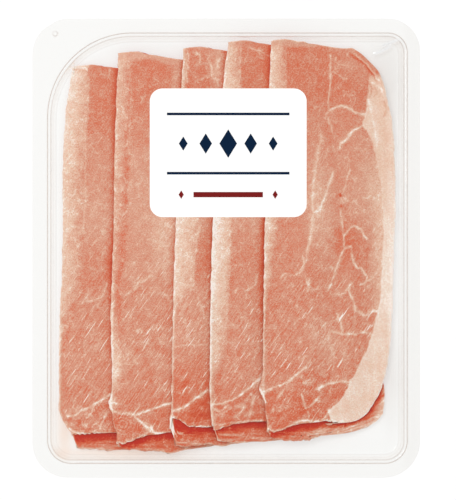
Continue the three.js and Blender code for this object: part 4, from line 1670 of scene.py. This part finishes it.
@dataclass
class HamSlice:
    """One slice of cooked ham, folded in half: a lower leaf, a round fold and an upper leaf."""

    index: int
    upper_columns: int
    crowding: float
    lower_columns: int = 44
    fold_columns: int = 8
    rows: int = 401
    inner_step: int = 2
    edge_round: float = 1.3
    edge_thickness: float = 0.35
    trim_reach: float = 3.5
    strip_blend: float = 2.6
    strip_fall: float = 0.27
    fibre_top: float = 16.0
    fibre_span: float = 62.0
    tan_tone: float = 0.61
    tan_blend: float = 2.4
    fat_top: float = 83.0
    fat_blend: float = 0.9
    trace_gain: float = 1.8
    trace_thinning: float = 0.85

    @property
    def outline(self) -> SliceOutline:
        """Returns where this slice lies."""
        return OUTLINES[self.index]

    @property
    def markings(self) -> Markings:
        """Returns what this slice shows."""
        return SLICE_MARKINGS[self.index]

    def jag(self, place: Array, amount: float, key: int) -> Array:
        """A ragged edge: two ripples of about 5 mm and 1.6 mm along it, of the given amount."""
        seed = 100 * self.index + key
        coarse = ripple(place, np.zeros_like(place), 5.0, seed)
        fine = ripple(place, np.zeros_like(place), 1.6, seed + 1)
        return amount * (0.65 * coarse + 0.45 * fine)

    def row_share(self) -> Array:
        """Places of the rows up the slice: even ones, drawn a little towards both ends."""
        even = np.linspace(0.0, 1.0, self.rows)
        return mix(even, (1.0 - np.cos(math.pi * even)) / 2.0, 0.45)

    def leaf_grid(self, leaf: Leaf, even: Array) -> tuple[Array, Array, Array]:
        """Places of a leaf's columns, from the fold outwards.

        Args:
            leaf: Which half of the slice.
            even: Evenly spaced shares of the way across.

        Returns:
            x and y of each point and its distance inside the leaf's free edges, all in mm. Columns
            crowd towards the fold, and the free edges are slightly ragged.
        """
        own = self.outline
        share = (self.crowding * even + (1.0 - self.crowding) * even**3)[:, None]
        across_mm = share * leaf.value[0]
        rough = 0.45 if leaf is Leaf.UPPER else 0.6
        key = 10 if leaf is Leaf.UPPER else 20
        end = own.leaf_end(leaf, share) + self.jag(across_mm, rough, key)
        top = own.upper_edge(share) + self.jag(across_mm, 0.12, key + 2)
        row = self.row_share()[None, :]
        marks = self.markings
        if leaf is Leaf.UPPER:
            top = top + along(marks.top_trim, own.foot + across_mm)
            end = end + along(marks.end_trim, own.foot + across_mm)
        else:
            end = end - along(marks.foot_trim, own.foot + across_mm)
        y = mix(end, top, row)
        width = own.leaf_width(leaf, y) - 0.3 + self.jag(y, 0.3, key + 4)
        width = width + along(marks.side_trim if leaf is Leaf.UPPER else marks.foot_side_trim, y)
        start = (LEAF + LEAF_GAP - PRESS_DEPTH + FOLD_LEAF) / 2.0
        x = own.fold_x(y) + mix(start, width, share)
        inside = np.minimum(np.minimum(y - end, top - y), (1.0 - share) * width)
        return x, y, inside

    @staticmethod
    def relief(x: Array, y: Array) -> Array:
        """Slow swells of the whole pile, the same for every slice so that none meets another."""
        return 0.22 * ripple(x, y, 24.0, 7) + 0.09 * ripple(x, y, 9.0, 8)

    def skins(self) -> tuple[Array, Array, Array, Array]:
        """The folded sheet's two faces.

        Returns:
            Points outside the fold and points inside it, as grids of columns and rows; for each
            column -1 on the lower leaf, 0 round the fold and 1 on the upper leaf; and each point's
            distance inside the free edges. Round the fold the section is half a circle; on a leaf
            it lies flat, thinner towards the free edges.
        """
        own = self.outline
        grids, rims = [], []
        for leaf, count, side in (
            (Leaf.LOWER, self.lower_columns, -1.0),
            (Leaf.UPPER, self.upper_columns, 1.0),
        ):
            even = np.arange(1, count + 1) / count
            x, y, inside = self.leaf_grid(leaf, even)
            rest = (upper_rest if leaf is Leaf.UPPER else lower_rest)(self.index, x, y)
            rounded = np.sqrt(clamp01(1.0 - (1.0 - clamp01(inside / self.edge_round)) ** 2))
            body = mix(FOLD_LEAF, LEAF, smoothstep((x - own.fold_x(y)) / PRESS_REACH))
            half = mix(self.edge_thickness, body, rounded) / 2.0
            middle = rest + LEAF / 2.0 + self.relief(x, y)
            outer = np.stack([x, y, middle + side * half], axis=-1)
            inner = np.stack([x, y, middle - side * half], axis=-1)
            grids.append((outer, inner))
            rims.append(inside)
        (low_out, low_in), (up_out, up_in) = grids

        turn = np.linspace(0.0, 1.0, self.fold_columns + 1)[:, None]
        ends = [own.leaf_end(leaf, np.zeros(1)) for leaf in (Leaf.LOWER, Leaf.UPPER)]
        row = self.row_share()[None, :]
        y = mix(mix(ends[0], ends[1], turn), own.upper_edge(np.zeros(1)), row)
        fold = own.fold_x(y)
        low = lower_rest(self.index, fold, y) + LEAF / 2.0
        high = upper_rest(self.index, fold, y) + LEAF / 2.0
        radius = (high - low) / 2.0
        angle = -math.pi / 2.0 - turn * math.pi
        bends = []
        for side in (1.0, -1.0):
            reach = radius + side * FOLD_LEAF / 2.0
            x = fold + radius + FOLD_LEAF / 2.0 + reach * np.cos(angle)
            z = (low + high) / 2.0 + reach * np.sin(angle) + self.relief(x, y)
            bends.append(np.stack([x, y + 0.0 * x, z], axis=-1))
        outside = np.concatenate([low_out[::-1], bends[0], up_out])
        inside = np.concatenate([low_in[::-1], bends[1], up_in])
        for skin in (outside, inside):
            from_fold = skin[..., 0] - own.fold_x(skin[..., 1])
            shift = self.jag(skin[..., 1], 0.3, 60) + along(self.markings.fold_trim, skin[..., 1])
            skin[..., 0] += shift * bell(from_fold, self.trim_reach)
        counts = [self.lower_columns, self.fold_columns + 1, self.upper_columns]
        part = np.repeat([-1, 0, 1], counts)
        bend_rim = np.minimum(y - y[:, :1], y[:, -1:] - y) + 0.0 * radius
        rim = np.concatenate([rims[0][::-1], bend_rim, rims[1]])
        return outside, inside, part, rim

    def paint_meat(self, x: Array, y: Array, stray: tuple[Array, Array]) -> dict[str, Array]:
        """Paints the pale strip beside the fold and the meat to its right.

        Args:
            x: Places across, in mm.
            y: Places along, in mm.
            stray: The same places, moved at random by less than a millimetre.

        Returns:
            The painted layers paleness, fibre and marbling. The strip darkens away from the fold,
            and fibres show from fibre_top downwards.
        """
        marks = self.markings
        stray_x, stray_y = stray
        fold = self.outline.fold_x(y)
        edge = along(marks.strip_edge, y) + 0.25 * ripple(x, y, 7.0, 35)
        way = clamp01((x - fold) / np.maximum(edge - fold, 1.0))
        # The strip is pale fat with a painted highlight of the fold: palest at the fold, darker
        # away.
        strip = along(marks.strip_tone, y) + 0.12 - self.strip_fall * way
        strip = strip + 0.03 * ripple(x, 0.5 * y, 2.6, 40) + 0.03 * ripple(x, 0.6 * y, 1.3, 48)
        past = x - edge + self.strip_blend / 2.0 + 0.4 * ripple(x, y, 2.0, 39)
        paleness = mix(strip, along(marks.meat_tone, y), smoothstep(past / self.strip_blend))
        marbling = 1.25 - 0.25 * smoothstep((stray_x - edge) / 3.0)
        patchy = 0.75 + 0.35 * ripple(x, y, 9.0, 49)
        fibre = smoothstep((self.fibre_top - y) / self.fibre_span)
        fibre = 0.2 + fibre * mix(0.4, 0.9, smoothstep((x - edge) / 6.0)) * patchy

        if marks.seam_line:
            below = smoothstep((along(marks.seam_line, x) - stray_y) / 1.2)
            paleness = paleness - 0.01 * below + 0.055 * below * ripple(x, y, 2.0, 42)
            fibre = mix(fibre, 0.55, below)
            marbling = mix(marbling, 1.7, below)
        for patch in marks.patches:
            paleness = paleness + patch.shade(x, y)
        if marks.whorl:
            turn = np.hypot(stray_x - marks.whorl[0], 1.2 * (stray_y - marks.whorl[1]))
            paleness = paleness + 0.09 * np.cos(turn * math.pi) * bell(turn, 7.0)
        return {"paleness": paleness, "fibre": fibre, "marbling": marbling}

    def add_fat(self, x: Array, y: Array, stray_x: Array, layers: dict[str, Array]) -> None:
        """Paints the tan border along a slice's top and the white fat down its right side.

        Args:
            x: Places across, in mm.
            y: Places along, in mm.
            stray_x: The places across, moved at random by less than a millimetre.
            layers: The painted layers, which it changes.
        """
        marks, own = self.markings, self.outline
        if marks.top_border:
            share = clamp01((x - own.fold_x(y)) / own.leaf_width(Leaf.UPPER, y))
            from_top = own.upper_edge(share) - y
            from_top = from_top + 3.2 * smoothstep((x - 36.0) / 12.0)
            wander = 0.8 * ripple(x, y, 5.0, 36) + 0.4 * ripple(x, y, 1.8, 43)
            past = from_top - marks.top_border + wander + self.tan_blend / 2.0
            tan = 1.0 - smoothstep(past / self.tan_blend)
            layers["paleness"] = mix(layers["paleness"], self.tan_tone, 0.85 * tan)
            layers["marbling"] = layers["marbling"] * (1.0 - 0.7 * tan)
        if marks.fat_edge:
            past = stray_x - along(marks.fat_edge, y)
            beside = np.exp(-(((y - 5.0) / 34.0) ** 4)) * smoothstep((past + 8.0) / 8.0)
            fat = smoothstep(past / self.fat_blend) * (1.0 - smoothstep((y - self.fat_top) / 4.0))
            tone = along(marks.fat_tone, y) + 0.03 * ripple(x, 0.25 * y, 2.0, 37)
            tone = tone + 0.05 * bell(past - 0.6, 0.6) * (y < 70.0)
            tone = tone + 0.06 * smoothstep((x - 78.5) / 3.0) * smoothstep((72.0 - y) / 20.0)
            layers["paleness"] = mix(layers["paleness"] + 0.2 * beside, tone, fat)
            layers["marbling"] = layers["marbling"] * (1.0 - 0.8 * fat)
            layers["fibre"] = layers["fibre"] * (1.0 - 0.95 * fat)

    def paint_seams(self, x: Array, y: Array, rim: Array, stray: tuple[Array, Array]) -> Array:
        """Paints the pale rim, the broken pale line along the fold and the drawn seams.

        Args:
            x: Places across, in mm.
            y: Places along, in mm.
            rim: Distances inside the free edges, in mm.
            stray: The same places, moved at random by less than a millimetre.

        Returns:
            The painted layer seam, in which the strongest of two crossing seams shows.
        """
        own = self.outline
        torn = smoothstep((ripple(x, y, 1.3, 44) - 0.1) / 0.5) * (y < own.folded_end + 8.0)
        seam = 0.16 * bell(rim, 0.45) + 0.34 * torn * bell(rim, 0.8)
        broken = smoothstep((ripple(x, y, 1.7, 52) - 0.2) / 0.4) * smoothstep((y + 62.0) / 10.0)
        strength = 0.24 * min(self.index, 1)
        seam = seam + strength * broken * bell(x - own.fold_x(y) - 0.6, 0.5)
        for line in self.markings.seams:
            away = distance_to(line.course, *stray) / (self.trace_thinning * line.half_width)
            trace = 0.75 * bell(away, 1.0) + 0.25 * bell(away, 2.2)
            trace = self.trace_gain * line.paleness * trace
            seam = np.where(np.abs(trace) > np.abs(seam), trace, seam)
        return seam * (0.85 + 0.35 * ripple(x, y, 2.5, 38))

    def paint_upper(self, x: Array, y: Array, rim: Array) -> dict[str, Array]:
        """Paints the fold and the upper leaf, with the shadow of the slice that lies over it.

        Args:
            x: Places across, in mm.
            y: Places along, in mm.
            rim: Distances inside the free edges, in mm.

        Returns:
            The painted layers by name: paleness, fibre, marbling and seam.
        """
        stray = (
            x + 0.35 * ripple(x, y, 4.0, 31) + 0.25 * ripple(x, y, 1.5, 32),
            y + 0.35 * ripple(x, y, 4.0, 33) + 0.25 * ripple(x, y, 1.5, 34),
        )
        layers = self.paint_meat(x, y, stray)
        self.add_fat(x, y, stray[0], layers)
        # Painted shadow that the next slice's fold casts on this one.
        if self.index + 1 < len(OUTLINES):
            gap = OUTLINES[self.index + 1].fold_x(y) - x
            near = np.maximum(gap, 0.0)
            dark = along(self.markings.shadow, y) * (0.8 * bell(near, 2.2) + 0.4 * bell(near, 0.7))
            layers["paleness"] = layers["paleness"] - dark * (gap > -4.0)
        # Painted light along the fold's edge, low down the slice, which offsets the fold's own
        # shade there.
        low = smoothstep((-10.0 - y) / 40.0)
        lit_fold = 0.22 * low * bell(x - self.outline.fold_x(y) - 0.3, 0.7)
        layers["paleness"] = layers["paleness"] + lit_fold
        layers["seam"] = self.paint_seams(x, y, rim, stray)
        return layers

    def paint_lower(self, x: Array, y: Array, rim: Array) -> dict[str, Array]:
        """Paints the lower leaf, of which only a shaded strip shows below the upper one.

        Args:
            x: Places across, in mm.
            y: Places along, in mm.
            rim: Distances inside the free edges, in mm.

        Returns:
            The painted layers by name.
        """
        own = self.outline
        share = clamp01((x - own.fold_x(y)) / own.leaf_width(Leaf.UPPER, y))
        outside = own.past_outline(Leaf.UPPER, x, y)
        stray = outside + 0.6 * ripple(x, y, 3.0, 41)
        # Darkest by the upper leaf's edge: painted shadow of that edge, over meat darker there too.
        paleness = mix(-0.1, 0.38, smoothstep((stray - 1.3) / 4.4))
        paleness = paleness + 0.12 * (1.0 - smoothstep(rim / 2.2))
        corner = smoothstep((share - 0.62) / 0.25) * (self.index + 1 == len(OUTLINES))
        paleness = mix(paleness, 0.64, corner * smoothstep((stray - 0.6) / 4.0))
        bearing = np.arctan2(y + 66.0, x - own.fold_x(y) - 34.0)
        rays = ripple(bearing * 30.0, 0.25 * outside, 1.0, 45)
        paleness = paleness + corner * 0.15 * rays
        layered = ripple(0.07 * x, y, 0.8, 46 + self.index)
        layered = layered + 0.5 * ripple(0.3 * x, y, 0.8, 56 + self.index)
        paleness = paleness + (1.0 - corner) * 0.1 * layered
        seam = 0.26 * bell(rim, 0.4) * (0.7 + 0.6 * ripple(x, y, 2.0, 47))
        for line in self.markings.lower_seams:
            trace = bell(distance_to(line.course, x, y), line.half_width)
            seam = np.maximum(seam, line.paleness * trace)
        return {
            "paleness": paleness,
            "seam": seam,
            "fibre": np.full(x.shape, 0.35),
            "marbling": np.full(x.shape, 2.0),
        }

    def build(self, material: bpy.types.Material) -> None:
        """Makes the slice as one closed folded sheet and paints it.

        Args:
            material: The meat's finish, shared by all slices.
        """
        outside, inside, part, rim = self.skins()
        columns, rows = outside.shape[:2]
        inside = inside[:: self.inner_step, :: self.inner_step]
        points = np.concatenate([outside.reshape(-1, 3), inside.reshape(-1, 3)])
        x, y = points[:, 0], points[:, 1]
        rim = np.concatenate([rim.ravel(), rim[:: self.inner_step, :: self.inner_step].ravel()])
        lower = np.concatenate(
            [np.repeat(part < 0, rows), np.repeat(part[:: self.inner_step] < 0, inside.shape[1])]
        )
        layers = {}
        for chosen, paint in ((lower, self.paint_lower), (~lower, self.paint_upper)):
            for name, values in paint(x[chosen], y[chosen], rim[chosen]).items():
                layers.setdefault(name, np.zeros(len(points)))[chosen] = values
        name = f"cooked_slice_{self.index + 1}"
        piece = make_piece(name, points, sheet_faces(columns, rows, self.inner_step), layers, 70.0)
        install(piece, material, f"ham_slice_{self.index + 1}")


# ---------------------------------------------------------------- studio


@dataclass
class Studio:
    """A white floor, soft light and a camera that looks straight down on the pack."""

    camera_height: float = 1500.0
    frame_height: float = 245.0
    frame_centre: Point = (0.9, -0.9)
    sensor_height: float = 36.0
    floor_half: float = 1500.0
    sky: float = 0.88
    key_place: tuple[float, float, float] = (-600.0, 500.0, 1250.0)
    key_size: float = 700.0
    key_power: float = 6.5

    def build_camera(self) -> None:
        """Sets a long lens over the pack: the frame's height at the flange gives its length."""
        data = bpy.data.cameras.new("overhead_camera")
        data.sensor_fit = "VERTICAL"
        data.sensor_height = self.sensor_height
        data.lens = self.sensor_height * self.camera_height / self.frame_height
        camera = bpy.data.objects.new("overhead_camera", data)
        x, y = self.frame_centre
        camera.location = Vector((x, y, TRAY_DEPTH + self.camera_height)) * MM
        bpy.context.scene.collection.objects.link(camera)
        bpy.context.scene.camera = camera

    def build_floor(self) -> None:
        """Lays the floor just under the tray, as a plain stage."""
        half, under = self.floor_half, -0.2
        corners = [(-half, -half), (half, -half), (half, half), (-half, half)]
        points = np.array([(x, y, under) for x, y in corners])
        floor = make_piece("white_floor", points, [np.array([[0, 1, 2, 3]])])
        floor.data.materials.append(LightTable().build())

    def build_light(self) -> None:
        """Lights the pack with a white sky and one large soft light from the upper left.

        The light's power is in watts. It faces the middle of the pack.
        """
        world = bpy.data.worlds.new("white_sky")
        world.use_nodes = True
        background = world.node_tree.nodes["Background"]
        background.inputs["Color"].default_value = linear("#ffffff")
        background.inputs["Strength"].default_value = self.sky
        bpy.context.scene.world = world
        data = bpy.data.lights.new("key_light", "AREA")
        data.size = self.key_size * MM
        data.energy = self.key_power
        lamp = bpy.data.objects.new("key_light", data)
        place = Vector(self.key_place) * MM
        lamp.location = place
        lamp.rotation_euler = (-place).to_track_quat("-Z", "Y").to_euler()
        bpy.context.scene.collection.objects.link(lamp)
        bpy.context.scene.view_settings.view_transform = "Standard"


# ---------------------------------------------------------------- the whole

# Columns of a slice's upper leaf, and how evenly they lie across it. The last slice shows whole,
# and the others mostly beside their folds.
WHOLE_MESH = (134, 0.95)
COVERED_MESH = (92, 0.62)


def main() -> None:
    """Builds the studio and the pack in order."""
    logging.basicConfig(level=logging.INFO, format="%(name)s %(message)s")
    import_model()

    studio = Studio()
    studio.build_camera()
    studio.build_floor()
    studio.build_light()

    FormedTray().build()
    film = LidFilm()
    film.build()
    PaperLabel(film).build()
    meat = Finish.MEAT.value.build()
    for index in range(len(OUTLINES)):
        mesh = COVERED_MESH if index + 1 < len(OUTLINES) else WHOLE_MESH
        HamSlice(index, *mesh).build(meat)


if __name__ == "__main__":
    main()
